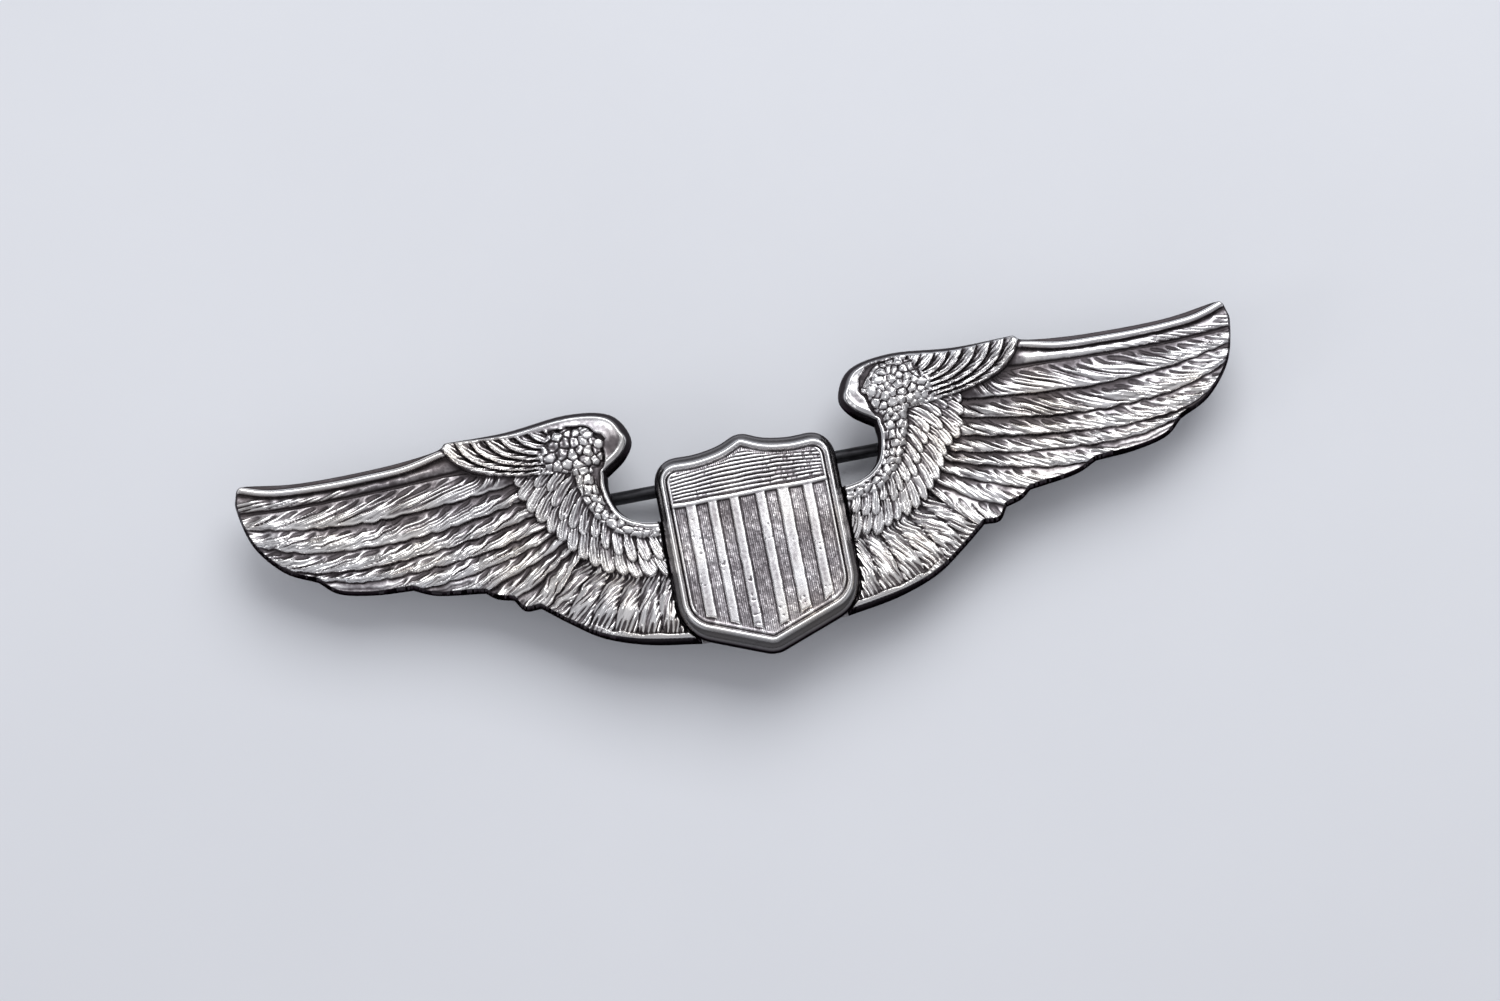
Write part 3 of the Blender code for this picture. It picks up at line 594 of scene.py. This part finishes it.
def coverts(z, blank, seed, count):
    """Lay a fan of long narrow feathers over the surface z, then short ones over their roots."""
    u, v = blank.u, blank.v
    spacing = COVERT_SWEEP / count
    for row, (back, reach, level, half) in enumerate(COVERT_ROWS):
        number = count - row
        roots, tips = resample(COVERT_ROOTS, number), resample(COVERT_TIPS, number)
        roots = roots - back * (tips - roots)
        for i in range(number):
            key = 100 * row + i
            vary = [hash01(key, j, seed) - 0.5 for j in range(4)]
            tip = roots[i] + (tips[i] - roots[i]) * (reach + (0.1 + 0.2 * row) * vary[0]) / (1 + back)
            across = np.array((-(tip - roots[i])[1], (tip - roots[i])[0]))
            middle = 0.5 * (roots[i] + tip) + across * (0.12 + 0.1 * vary[1])
            curve = bezier(roots[i], middle, tip, 9)
            height = level + 0.12 * vary[2]
            lay_feather(z, u, v, curve, half * spacing * (1 + 0.3 * vary[3]), height, key, seed + key)


def upper_coverts(z, blank, seed):
    """Comma-shaped feathers whose broad ends meet the leading edge."""
    u, v = blank.u, blank.v
    tips = np.linspace(*[np.array(p) for p in UPPER_TIPS], UPPER_COUNT)
    inner = resample(UPPER_INNER, UPPER_COUNT)
    curves = [bezier(tip, (tip[0] - 0.45, 0.75 * end[1] + 0.25 * tip[1] - 0.35), end, 14)
              for tip, end in zip(tips, inner)]
    along, side, _ = track_all(curves, u, v)
    rows = np.arange(len(u))
    index = (side > 0).sum(0)
    inside = (index > 0) & (index < UPPER_COUNT) & (v > 7.7) & (u > 11.8)
    left = side[np.clip(index - 1, 0, UPPER_COUNT - 1), rows]
    right = -side[np.clip(index, 0, UPPER_COUNT - 1), rows]
    s = left / np.maximum(left + right, 1e-3)
    travel = along[np.clip(index, 0, UPPER_COUNT - 1), rows]
    cross = s * (left + right) + 0.3 * travel + 0.12 * noise(u, v, 0.6, seed)
    lines = strokes(cross, MIDWAY, 0.3, index, seed)
    lap = rise(0.0, 0.75, s) * fall(0.9, 1.0, s)
    top = UPPER_TOP + 0.27 * lap + 0.2 * lines * rise(0.2, 1.2, travel)
    top -= 0.14 * fall(0.0, 0.11, np.minimum(left, right))
    top += 0.06 * noise(u, v, 0.5, seed + 1)
    top += 0.12 * bump(travel - 0.8, 1.2)
    return np.where(inside, top, z)


def throat(z, blank):
    """Smooth strip between the neck's scales and the wing's inner edge, and a bed under the scales."""
    side = track(spline(NECK), blank.u, blank.v)[1]
    strip = (side < -0.3) & (blank.u < 12.6)
    smooth = STRIP_TOP + 0.1 * bump(blank.depth - 0.4, 0.2) + 0.03 * noise(blank.u, blank.v, 0.6, 5)
    z = np.where(strip, smooth, z)
    bed = BED_TOP * fall(1.3, 1.8, np.abs(side)) * (blank.v < 9.5)
    return np.maximum(z, bed)


def pebbles(u, v, pitch, seed):
    """Irregular cells: distances to the cell's centre and its border, and its tone."""
    column, row = np.floor(u / pitch), np.floor(v / pitch)
    nearest, second = np.full(u.shape, FAR), np.full(u.shape, FAR)
    tone = np.zeros(u.shape)
    for di in (-2, -1, 0, 1, 2):
        for dj in (-2, -1, 0, 1, 2):
            i, j = column + di, row + dj
            ci = (i + 0.5 + 0.5 * np.mod(j, 2) + 0.7 * (hash01(i, j, seed) - 0.5)) * pitch
            cj = (j + 0.5 + 0.7 * (hash01(i, j, seed + 1) - 0.5)) * pitch
            gap = np.hypot(u - ci, v - cj)
            tone = np.where(gap < nearest, hash01(i, j, seed + 2), tone)
            second = np.minimum(second, np.maximum(gap, nearest))
            nearest = np.minimum(nearest, gap)
    return nearest, second - nearest, tone


def crown_breadth(blank, style):
    """Width of the smooth crown at each point, and how far the point belongs to the head."""
    angle = np.arctan2(blank.v - HEAD_CENTRE[1], blank.u - HEAD_CENTRE[0])
    spread = np.abs(np.mod(angle - HEAD_FRONT + pi, 2 * pi) - pi)
    front = fall(radians(45), radians(100), spread)
    along_top = fall(9.0, 21.0, blank.u)
    on_top = rise(10.0, 11.8, blank.v)
    breadth = CROWN_LEAST + on_top * along_top * (style.brim - CROWN_LEAST)
    breadth += (1 - on_top) * front * (style.broad - CROWN_LEAST)
    throat_side = fall(radians(100), radians(125), spread)
    top_side = fall(style.brow, style.brow + 2.0, blank.u)
    on_head = np.where(blank.v > 10.9, top_side, throat_side)
    return breadth + 0.1 * noise(blank.u, blank.v, 0.7, 3), on_head


def scales(z, blank, seed, style):
    """Pebbled scales inside the head's crown and down the neck."""
    u, v = blank.u, blank.v
    along, side, _ = track(spline(NECK), u, v)
    outer = 1.0 - 0.4 * rise(3.0, 8.0, along)
    band = np.where(side > 0, outer - side, style.necklace + side)
    patch, under, head = (strength * (1 - np.hypot((u - middle[0]) / half[0], (v - middle[1]) / half[1]))
                          for strength, middle, half in SCALE_PATCHES)
    head = np.minimum(head, blank.depth - crown_breadth(blank, style)[0])
    patch = np.maximum.reduce((patch, under, head))
    z = z - 0.4 * rise(0.0, 0.3, patch)
    inward = np.maximum(band, patch) + 0.1 * noise(u, v, 0.6, seed + 5)
    middle, border, tone = pebbles(u + 0.12 * noise(u, v, 0.5, seed), v, style.pebble, seed)
    top = SCALE_TOP + 0.17 * rise(0.0, 0.16, border) + 0.05 * bump(middle, 0.22) + 0.2 * tone
    top += 0.07 * noise(u, v, 0.25, seed + 6) - 0.2 * fall(0.0, 0.6, inward)
    blend = rise(0.0, 0.2, inward) * (u > 7.0)
    return np.where(blend > 0, np.maximum(z, top * blend + z * (1 - blend)), z)


def wing_form(blank):
    """Broad swell under the feathers: thin at the trailing edge, full at the neck and head."""
    u, v = blank.u, blank.v
    neck = track(spline(NECK), u, v)[1]
    head = np.hypot((u - HEAD_SWELL[0]) / 1.5, v - HEAD_SWELL[1])
    form = 0.16 * rise(0.2, 2.5, blank.depth)
    form += 0.25 * bump(neck, 2.0) + 0.2 * bump(head, 2.2)
    return form


def head_cap(z, blank, seed, style):
    """Smooth crown round the head, with a fine ridge near its edge and two round scales inside."""
    u, v = blank.u, blank.v
    breadth, on_head = crown_breadth(blank, style)
    crown = fall(breadth - 0.15, breadth + 0.05, blank.depth) * on_head
    top = CROWN_TOP - 0.12 * rise(0.7, 2.0, blank.depth)
    top += 0.14 * bump(blank.depth - CROWN_LEAST, 0.17)
    top += 0.035 * noise(u, v, 0.9, seed) + 0.01 * noise(u, v, 0.3, seed + 1)
    z = z * (1 - crown) + top * crown
    z -= 0.06 * bump(blank.depth - breadth, 0.08) * on_head
    for centre, size in HEAD_SCALES:
        ragged = 1 + 0.1 * noise(u, v, 0.4, seed + 2)
        far = np.hypot((u - centre[0]) / size[0], (v - centre[1]) / size[1]) * ragged
        shown = (far < 1) & (blank.depth > 0.9)
        z = np.where(shown, 1.68 + 0.12 * np.sqrt(np.clip(1 - far ** 2, 0, 1)), z)
        z -= 0.06 * bump((far - 1.03) * size[1], 0.06) * (blank.depth > 0.8)
    return z


def wing_loop():
    """The wing's outline, counterclockwise."""
    loop = np.vstack([spline(stretch, 6)[:-1] for stretch in WING_EDGE] + [np.array([WING_EDGE[-1][-1]])])
    loop[:, 0] *= HALF_SPAN / loop[:, 0].max()
    return loop[::-1]


def patina_and_painted_light(blank, style):
    """How much lighter or darker the wing is painted than its relief says: patina, painted shade and painted
    light.
    """
    u, v, depth = blank.u, blank.v, blank.depth
    bar, band = (track(spline(points, 5), u, v)[1] for points in GROOVES[:2])
    below_bar = fall(-0.15, 0.0, bar) * rise(0.0, 0.15, band) * rise(21.0, 23.0, u)
    breadth, on_head = crown_breadth(blank, style)
    crown = on_head * rise(0.75, 0.9, depth) * fall(breadth - 0.15, breadth, depth)
    # patina on the band below the leading bar, plus painted shade that darkens the head's smooth crown
    dull = style.dull * below_bar * (1 - 0.7 * rise(29.0, 35.0, u)) + 0.14 * crown
    throat_strip = fall(-0.9, -0.7, track(spline(NECK), u, v)[1]) * (u < 12.0) * (1 - on_head)
    outer = rise(13.5, 17.5, u)
    low = fall(-1.5, 0.5, v + 0.4 * (12.0 - u) * (u > 12.0))
    head = rise(8.3, 9.0, v) * (1 - outer)
    of_head, of_inner, of_outer = style.shine
    # painted light: the lower feathers painted lighter, and each wing's head, inner half and outer half
    # lighter or darker as it caught the light
    shine = of_head * head + of_inner * (1 - head) * (1 - outer) + of_outer * outer * (1 - low)
    return shine + 0.14 * low + 0.15 * throat_strip - dull * (1 + 0.3 * noise(u, v, 1.5, 9))


def sculpt_wing(blank, style):
    """Heights of the wing's face above its back, and each point's place up the struck edge, 1 at the top."""
    u, v, seed = blank.u, blank.v, style.seed
    z = flight_feathers(blank, seed, style.slant, style.lobes)
    coverts(z, blank, seed + 20, style.coverts)
    z = upper_coverts(z, blank, seed + 40)
    z = throat(z, blank)
    z = scales(z, blank, seed + 60, style)
    z = head_cap(z, blank, seed + 80, style)
    z = z + wing_form(blank)
    behind_shield = Blank.depth_inside(inset(shield_crest(), *(-grow for grow in RIM_GROW))[::4], u, v)[0]
    z = z - rise(-0.14, -0.06, behind_shield) * np.maximum(z - UNDER_SHIELD, 0)
    gentle = rise(8.6, 10.2, v) * (1 - 0.6 * rise(16.0, 24.0, u))
    edge = EDGE_FOOT + (EDGE_STEEP - (EDGE_STEEP - EDGE_SLOPE) * gentle) * blank.depth
    up = edge / z
    share = np.clip(0.5 + 0.5 * (edge - z) / ROUNDING, 0, 1)
    z = edge * (1 - share) + z * share - ROUNDING * share * (1 - share)
    return 0.55 * z + 0.45 * blank.blur(z, 0.05), up


def wing(style, blank, material):
    """One sculpted wing with its dark walls and flat back."""
    z, up = sculpt_wing(blank, style)
    z = np.maximum(z, EDGE_FOOT) + BACK_Z
    # painted light: the walls along the wing's top keep part of the face's silver, lighter than the other,
    # darker walls
    lit_top_wall = 0.3 * rise(8.0, 9.5, blank.v)
    silver = rise(0.82, 1.05, up) * rise(EDGE_RUN, EDGE_RUN + 0.07, blank.depth)
    relief = np.clip(blank.relief(z) + patina_and_painted_light(blank, style), 0, 1)
    paints = {"relief": relief, "face": np.maximum(silver, lit_top_wall)}
    loop = wing_loop()
    rings = [(loop, BACK_Z + EDGE_FOOT, 0.0), (loop, BACK_Z, 0.0)]
    rings.append((inset(loop, BACK_INSET), BACK_Z, BACK_POLISH))
    thing = blank.solid(style.node + "_sculpt", z, rings, paints, style.mirror)
    thing.data.materials.append(material)
    return thing


# ---- Shield ----
def soften(loop, rounds):
    """Round a closed loop's corners."""
    for _ in range(rounds):
        loop = 0.25 * np.roll(loop, 1, 0) + 0.5 * loop + 0.25 * np.roll(loop, -1, 0)
    return loop


def shield_crest():
    """Crest of the shield's rim: evenly spaced points, counterclockwise, with slightly rounded corners."""
    shoulder_x, foot_x = SHIELD_HALF_WIDTH - SHOULDER_R, SHIELD_HALF_WIDTH - FOOT_R
    top = spline(((0.0, SHIELD_PEAK_Y), (1.6, 6.75), (3.5, 6.42), (shoulder_x, SHOULDER_Y + SHOULDER_R)), 6)
    shoulder = arc(SHOULDER_R, pi / 2, 0, 10, (shoulder_x, SHOULDER_Y))
    foot = arc(FOOT_R, 0, -FOOT_SWEEP, 12, (foot_x, FOOT_Y))
    half = np.vstack((top[:-1], shoulder, foot))
    tip = ((SHIELD_TIP_X, SHIELD_TIP_Y),)
    mirrored = half[1:] * (-1, 1)
    loop = np.vstack((half, tip, mirrored[::-1]))[::-1]
    return soften(spaced(np.vstack((loop, loop[:1])), CREST_POINTS, True), 1)


def arc(radius, start, stop, steps, centre):
    """Points on a circle from one angle to another."""
    angles = np.linspace(start, stop, steps + 1)
    return np.stack((centre[0] + radius * np.cos(angles), centre[1] + radius * np.sin(angles)), 1)


def inset(loop, distance_x, distance_y=None):
    """Move each point of a counterclockwise loop inwards along its mitred normal."""
    distance_y = distance_x if distance_y is None else distance_y
    into = loop - np.roll(loop, 1, 0)
    into /= np.hypot(*into.T)[:, None]
    out = np.roll(into, -1, 0)
    normal = np.stack((-(into + out)[:, 1], (into + out)[:, 0]), 1)
    length = np.hypot(*normal.T)[:, None]
    mitre = np.minimum(2.0 / length, 2.0)
    return loop + normal / length * (distance_x, distance_y) * mitre


def shield_field(blank, seed):
    """Sunk field: engraved lines above a level bar, stripes below it, a thin frame round both."""
    u, v, depth = blank.u, blank.v, blank.depth
    floor = FIELD_Z + 0.02 * noise(u, v, 0.5, seed)

    line = np.floor(u / HATCH_PITCH)
    hatch = np.mod(u / HATCH_PITCH + 0.25 * noise(u, v, 1.0, seed + 1), 1.0)
    dash = hash01(line, np.floor(v / HATCH_DASH + 3 * hash01(line, 0, seed)), seed + 2)
    z = floor + HATCH_RISE * np.sin(pi * hatch) * (0.3 + 0.7 * dash)

    stripe = np.zeros(u.shape)
    below_bar = fall(BAR_Y - 0.1, BAR_Y, v)
    for left, right in STRIPES:
        ragged = 0.03 * noise(v, 0 * v + left, 0.6, seed + 3)
        side = np.minimum(u - left - ragged, right - u + ragged)
        stripe = np.maximum(stripe, rise(-0.02, 0.12, side))
    stripe *= below_bar * rise(0.3, 0.5, depth + 0.12 * noise(u, v, 0.5, seed + 4))
    pits = rise(0.6, 0.8, noise(u * 1.4, v, 0.22, seed + 5) * (0.8 + 0.7 * noise(u, v, 1.4, seed + 6)))
    dent = noise(u * 2.0, v, 1.2, seed + 7)
    z += stripe * (STRIPE_RISE - (z - FIELD_Z) - 0.05 * pits + 0.006 * dent)

    chief = rise(BAR_Y + 0.25, BAR_Y + 0.35, v) * rise(0.1, 0.3, depth)
    wave = (0.25 - 0.014 * u ** 2) * rise(BAR_Y, BAR_Y + 2.5, v) + 0.03 * noise(u, v, 0.8, seed + 8)
    phase = (v - BAR_Y - wave) / LINE_PITCH
    ridge = np.clip(1.25 * np.sin(pi * np.mod(phase, 1.0)) ** 0.8, 0, 1)
    broken = rise(-0.8, -0.3, noise(u, np.floor(phase) * 7.0, 0.28, seed + 9))
    broken = np.maximum(broken, 1 - 0.5 * rise(0.5, 2.5, u) - 0.25 * bump(u + 3.6, 0.8))
    z = z * (1 - chief) + chief * (FIELD_Z - 0.03 + LINE_RISE * ridge * (0.2 + 0.8 * broken))

    bar = np.clip(1 - ((v - BAR_Y - 0.05 * noise(u, v, 1.5, seed + 10)) / 0.2) ** 4, 0, 1) ** 0.5
    z = np.maximum(z, FIELD_Z + BAR_RISE * bar * rise(0.0, 0.1, depth))

    upright = rise(4.9, 5.6, np.abs(u)) * fall(5.9, 6.2, v) * rise(-5.2, -4.6, v)
    low = fall(-5.0, -4.6, v)
    bead = np.clip(1 - ((depth - 0.14) / 0.12) ** 2, 0, 1) ** 0.5 * np.maximum(upright, 0.35 * low)
    z = np.maximum(z, FIELD_Z + FRAME_RISE * bead)
    return 0.6 * z + 0.4 * blank.blur(z, 0.035)


def shield(material):
    """The sculpted shield: field, rim and flat back with its rivet holes."""
    crest = shield_crest()
    border = inset(crest, RIM_INSIDE)
    blank = Blank(border, SHIELD_GRID)
    z = shield_field(blank, SHIELD_SEED)
    edge = blank.depth < 1e-9
    z = np.where(edge, FIELD_Z, z)
    raised = np.clip((z - FIELD_Z) / STRIPE_RISE, 0, 1)
    relief = 0.4 + 0.17 * raised + 0.3 * (z - blank.blur(z, 0.08)) / 0.05
    # painted highlight: the right side of each stripe below the bar is painted lighter
    for left, right in STRIPES:
        across = (blank.u - left) / (right - left)
        relief += 0.14 * rise(0.55, 0.8, across) * (across < 1) * (blank.v < BAR_Y)
    relief = np.clip(relief, 0, 1)
    paints = {"relief": relief, "face": np.ones(z.shape)}
    rings = [(inset(crest, inside), SHIELD_Z - drop, polish_and_painted_shade) for inside, drop, polish_and_painted_shade in RIM_INNER]
    for outside, drop, polish_and_painted_shade in RIM_OUTER:
        ring = soften(inset(crest, -RIM_GROW[0] * outside, -RIM_GROW[1] * outside), round(12 * outside))
        rings.append((ring, SHIELD_Z - drop, polish_and_painted_shade))
    rings.append((ring, SHIELD_BACK_Z, 0.0))
    rings.append((inset(ring, BACK_INSET), SHIELD_BACK_Z, BACK_POLISH))
    thing = blank.solid("shield_sculpt", z, rings, paints)
    cut_rivet_holes(thing)
    thing.data.materials.append(material)
    return thing


def cut_rivet_holes(thing):
    """Two blind holes in the shield's back, where its rivets are fixed."""
    mesh = bmesh.new()
    for node in ("shield_rivet_left", "shield_rivet_right"):
        low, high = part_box(node)
        middle = 0.5 * (low + high)
        top = high.z + RIVET_HOLE_SPARE * MM
        bottom = SHIELD_BACK_Z * MM - MM
        made = bmesh.ops.create_cone(mesh, cap_ends=True, segments=32, radius1=RIVET_HOLE_R * MM,
                                     radius2=RIVET_HOLE_R * MM, depth=top - bottom)["verts"]
        bmesh.ops.translate(mesh, verts=made, vec=(middle.x, middle.y, 0.5 * (top + bottom)))
    data = bpy.data.meshes.new("rivet_holes")
    mesh.to_mesh(data)
    mesh.free()
    cutter = add_object("rivet_holes", data)
    cut = thing.modifiers.new("holes", "BOOLEAN")
    cut.operation = "DIFFERENCE"
    cut.solver = "EXACT"
    cut.object = cutter
    bake(thing)
    bpy.data.objects.remove(cutter)


def add_object(name, data):
    """New object in the scene."""
    thing = bpy.data.objects.new(name, data)
    bpy.context.scene.collection.objects.link(thing)
    return thing


def bake(thing):
    """Replace an object's mesh by what its modifiers make of it."""
    graph = bpy.context.evaluated_depsgraph_get()
    data = bpy.data.meshes.new_from_object(thing.evaluated_get(graph))
    thing.modifiers.clear()
    thing.data = data


# ---- Findings on the back ----
def dressed(node, body, material):
    """Copy of a CAD node with its edges broken and its round faces smooth."""
    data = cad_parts[node].data.copy()
    data.name = node + "_dressed"
    mesh = bmesh.new()
    mesh.from_mesh(data)
    bmesh.ops.remove_doubles(mesh, verts=mesh.verts, dist=1e-7)
    bmesh.ops.dissolve_limit(mesh, angle_limit=radians(0.5), verts=mesh.verts, edges=mesh.edges)
    mesh.to_mesh(data)
    mesh.free()
    thing = add_object(node + "_dressed", data)
    broken_edges = thing.modifiers.new("bevel", "BEVEL")
    broken_edges.width = BEVEL * MM
    broken_edges.segments = 2
    broken_edges.limit_method = "ANGLE"
    broken_edges.angle_limit = radians(40)
    bake(thing)
    thing.data.shade_smooth()
    thing.data.set_sharp_from_angle(angle=radians(35))
    thing.data.materials.clear()
    thing.data.materials.append(material)
    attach(thing, body)
    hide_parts(node)


# ---- Materials ----
class Nodes:
    """Short way to build a node tree."""

    def __init__(self, owner):
        owner.use_nodes = True
        self.owner = owner
        self.tree = owner.node_tree
        self.shader = self.tree.nodes.get("Principled BSDF")

    def add(self, kind, **values):
        """New node with these inputs or properties set."""
        node = self.tree.nodes.new("ShaderNode" + kind)
        for key, value in values.items():
            if key in node.inputs:
                node.inputs[key].default_value = value
            else:
                setattr(node, key, value)
        return node

    def feed(self, value, node, slot):
        """Give an input a number, a colour or a (node, output) pair."""
        if not isinstance(value, tuple):
            node.inputs[slot].default_value = value
        elif isinstance(value[0], float):
            node.inputs[slot].default_value = (*value, 1.0)
        else:
            self.tree.links.new(value[0].outputs[value[1]], node.inputs[slot])

    def noise(self, per_mm, detail=3.0, stretch=(1, 1, 1)):
        """Noise fixed to the object, in that many blobs per millimetre."""
        place = self.add("TexCoord")
        scale = self.add("Mapping", Scale=stretch)
        self.feed((place, "Object"), scale, "Vector")
        node = self.add("TexNoise", Scale=per_mm / MM, Detail=detail)
        self.feed((scale, "Vector"), node, "Vector")
        return (node, "Fac")

    def attribute(self, name):
        """Value painted on the mesh's points."""
        return (self.add("Attribute", attribute_name=name), "Fac")

    def ramp(self, source, stops):
        """Colour or grey by position, from (position, colour) stops."""
        node = self.add("ValToRGB")
        ramp = node.color_ramp
        while len(ramp.elements) < len(stops):
            ramp.elements.new(0.5)
        for element, (position, colour) in zip(ramp.elements, stops):
            colour = (colour,) * 3 if isinstance(colour, float) else colour
            element.position = position
            element.color = (*colour, 1.0)
        self.feed(source, node, "Fac")
        return (node, "Color")

    def math(self, operation, *values):
        """Sum, product and so on of numbers and (node, output) pairs."""
        node = self.add("Math", operation=operation)
        for slot, value in enumerate(values):
            self.feed(value, node, slot)
        return (node, "Value")

    def mix(self, factor, a, b, blend="MIX"):
        """Colour a where the factor is 0, and b where it is 1."""
        node = self.add("Mix", data_type="RGBA", blend_type=blend)
        for slot, value in (("Factor", factor), (6, a), (7, b)):
            self.feed(value, node, slot)
        return (node, 2)

    def bumps(self, height, strength, depth_mm):
        """Fine surface marks, too small for the mesh."""
        node = self.add("Bump", Strength=strength, Distance=depth_mm * MM)
        self.feed(height, node, "Height")
        self.feed((node, "Normal"), self.shader, "Normal")

    def finish(self, colour, rough, metallic=1.0):
        """The finished material."""
        self.feed(colour, self.shader, "Base Color")
        self.feed(rough, self.shader, "Roughness")
        self.feed(metallic, self.shader, "Metallic")
        return self.owner


def struck_silver():
    """Silver: polished where the relief stands proud, brown-black patina and painted shade in its cuts, and
    painted shade with patina on its walls, whose reflection is tinted dark.
    """
    n = Nodes(bpy.data.materials.new("oxidised_silver"))
    uneven = n.math("MULTIPLY", n.math("SUBTRACT", n.noise(0.4), 0.5), 0.5)
    grain = n.math("MULTIPLY", n.math("SUBTRACT", n.noise(4.0, 2.0), 0.5), 0.3)
    wear_and_painted_light = n.math("ADD", n.attribute("relief"), n.math("ADD", uneven, grain))
    colour = n.ramp(wear_and_painted_light, SILVER_STOPS)
    warm = n.ramp(n.noise(0.15, 2.0), ((0.45, 0.0), (0.7, 0.5)))
    colour = n.mix(warm, colour, WARM_TARNISH, "MULTIPLY")
    rough = n.ramp(wear_and_painted_light, ((0.2, 0.55), (0.5, 0.3), (0.8, 0.2)))
    # painted shade: the struck walls painted near-black with patina, and their reflection tinted dark
    wall = n.ramp(n.noise(0.8), ((0.3, tuple(0.7 * c for c in WALL_PATINA_AND_SHADE)), (0.7, WALL_PATINA_AND_SHADE)))
    face = n.attribute("face")
    n.feed(n.mix(face, WALL_SHADED_SHEEN, PALE_SHEEN), n.shader, "Specular Tint")
    n.bumps(n.noise(6.0, 4.0), 0.25, 0.012)
    return n.finish(n.mix(face, wall, colour), rough)


def plain_metal(name, light, dark, roughness, stretch):
    """Worn bare metal: blotches of tarnish and fine drawn marks."""
    n = Nodes(bpy.data.materials.new(name))
    colour = n.ramp(n.noise(0.7, 5.0), ((0.35, dark), (0.62, light)))
    rough = n.ramp(n.noise(1.5, 4.0), ((0.3, roughness + 0.12), (0.7, roughness)))
    n.bumps(n.noise(5.0, 3.0, stretch), 0.3, 0.01)
    return n.finish(colour, rough)


# ---- Studio ----
def studio():
    """Pale paper floor, soft sky and soft boxes."""
    data = bpy.data.meshes.new("floor")
    corners = [(x * FLOOR_HALF, y * FLOOR_HALF, 0) for x, y in ((-1, -1), (1, -1), (1, 1), (-1, 1))]
    data.from_pydata(corners, [], [(0, 1, 2, 3)])
    floor = add_object("floor", data)
    n = Nodes(bpy.data.materials.new("floor_paper"))
    paper = n.ramp(n.noise(0.02), ((0.3, PAPER[0]), (0.7, PAPER[1])))
    rough = n.ramp(n.noise(0.5), ((0.3, 0.75), (0.7, 0.85)))
    data.materials.append(n.finish(paper, rough, 0.0))

    scene = bpy.context.scene
    scene.view_settings.view_transform = "Standard"
    scene.world = bpy.data.worlds.new("studio")
    n = Nodes(scene.world)
    place = n.add("TexCoord")
    split = n.add("SeparateXYZ")
    n.feed((place, "Generated"), split, "Vector")
    sky = n.ramp((split, "Z"), ((0.0, SKY_LOW), (1.0, SKY_HIGH)))
    n.feed(sky, n.tree.nodes["Background"], "Color")

    for name, place, size, radiance in LIGHTS:
        data = bpy.data.lights.new(name, "AREA")
        data.shape = "SQUARE"
        data.size = size
        data.energy = radiance * pi * size * size
        data.color = LIGHT_COLOUR
        light = add_object(name, data)
        light.location = place
        light.rotation_euler = (-Vector(place)).to_track_quat("-Z", "Y").to_euler()


# ---- Camera ----
def camera():
    """Camera above the badge, rolled so that the span slopes in the picture."""
    azimuth, elevation = radians(CAMERA_AZIMUTH), radians(CAMERA_ELEVATION)
    back = Vector((sin(azimuth) * cos(elevation), -cos(azimuth) * cos(elevation), sin(elevation)))
    level = Vector((cos(azimuth), sin(azimuth), 0.0))
    steep = back.cross(level)
    roll = np.arctan2(steep.x, level.x) - radians(SPAN_TILT)
    right = level * cos(roll) + steep * sin(roll)
    up = steep * cos(roll) - level * sin(roll)
    mark = Vector((0.0, CENTRE_Y, BACK_Z + FEATHER_FACE))
    place = mark + CAMERA_DISTANCE * back + AIM[0] * right + AIM[1] * up
    data = bpy.data.cameras.new("camera")
    data.sensor_width = SENSOR
    data.lens = SENSOR * CAMERA_DISTANCE / PICTURE_SPAN
    data.clip_start = 0.01
    thing = add_object("camera", data)
    turn = Matrix((right, up, back)).transposed().to_4x4()
    thing.matrix_world = Matrix.Translation(place * MM) @ turn
    bpy.context.scene.camera = thing


# ---- Assembly ----
def main():
    """Camera, studio, the three sculpts and the dressed findings."""
    camera()
    studio()
    silver = struck_silver()
    blank = Blank(inset(wing_loop(), EDGE_RUN), WING_GRID)
    blank.depth += EDGE_RUN  # counted from the outer edge
    pieces = {style.node: wing(style, blank, silver) for style in WINGS}
    pieces["shield"] = shield(silver)
    for node, piece in pieces.items():
        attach(piece, "badge")
        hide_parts(node)

    metals = {name: plain_metal(name, *look) for name, look in METALS.items()}
    for body, slot, nodes in FINDINGS:
        for node in nodes.split():
            dressed(node, body, metals[slot])


main()
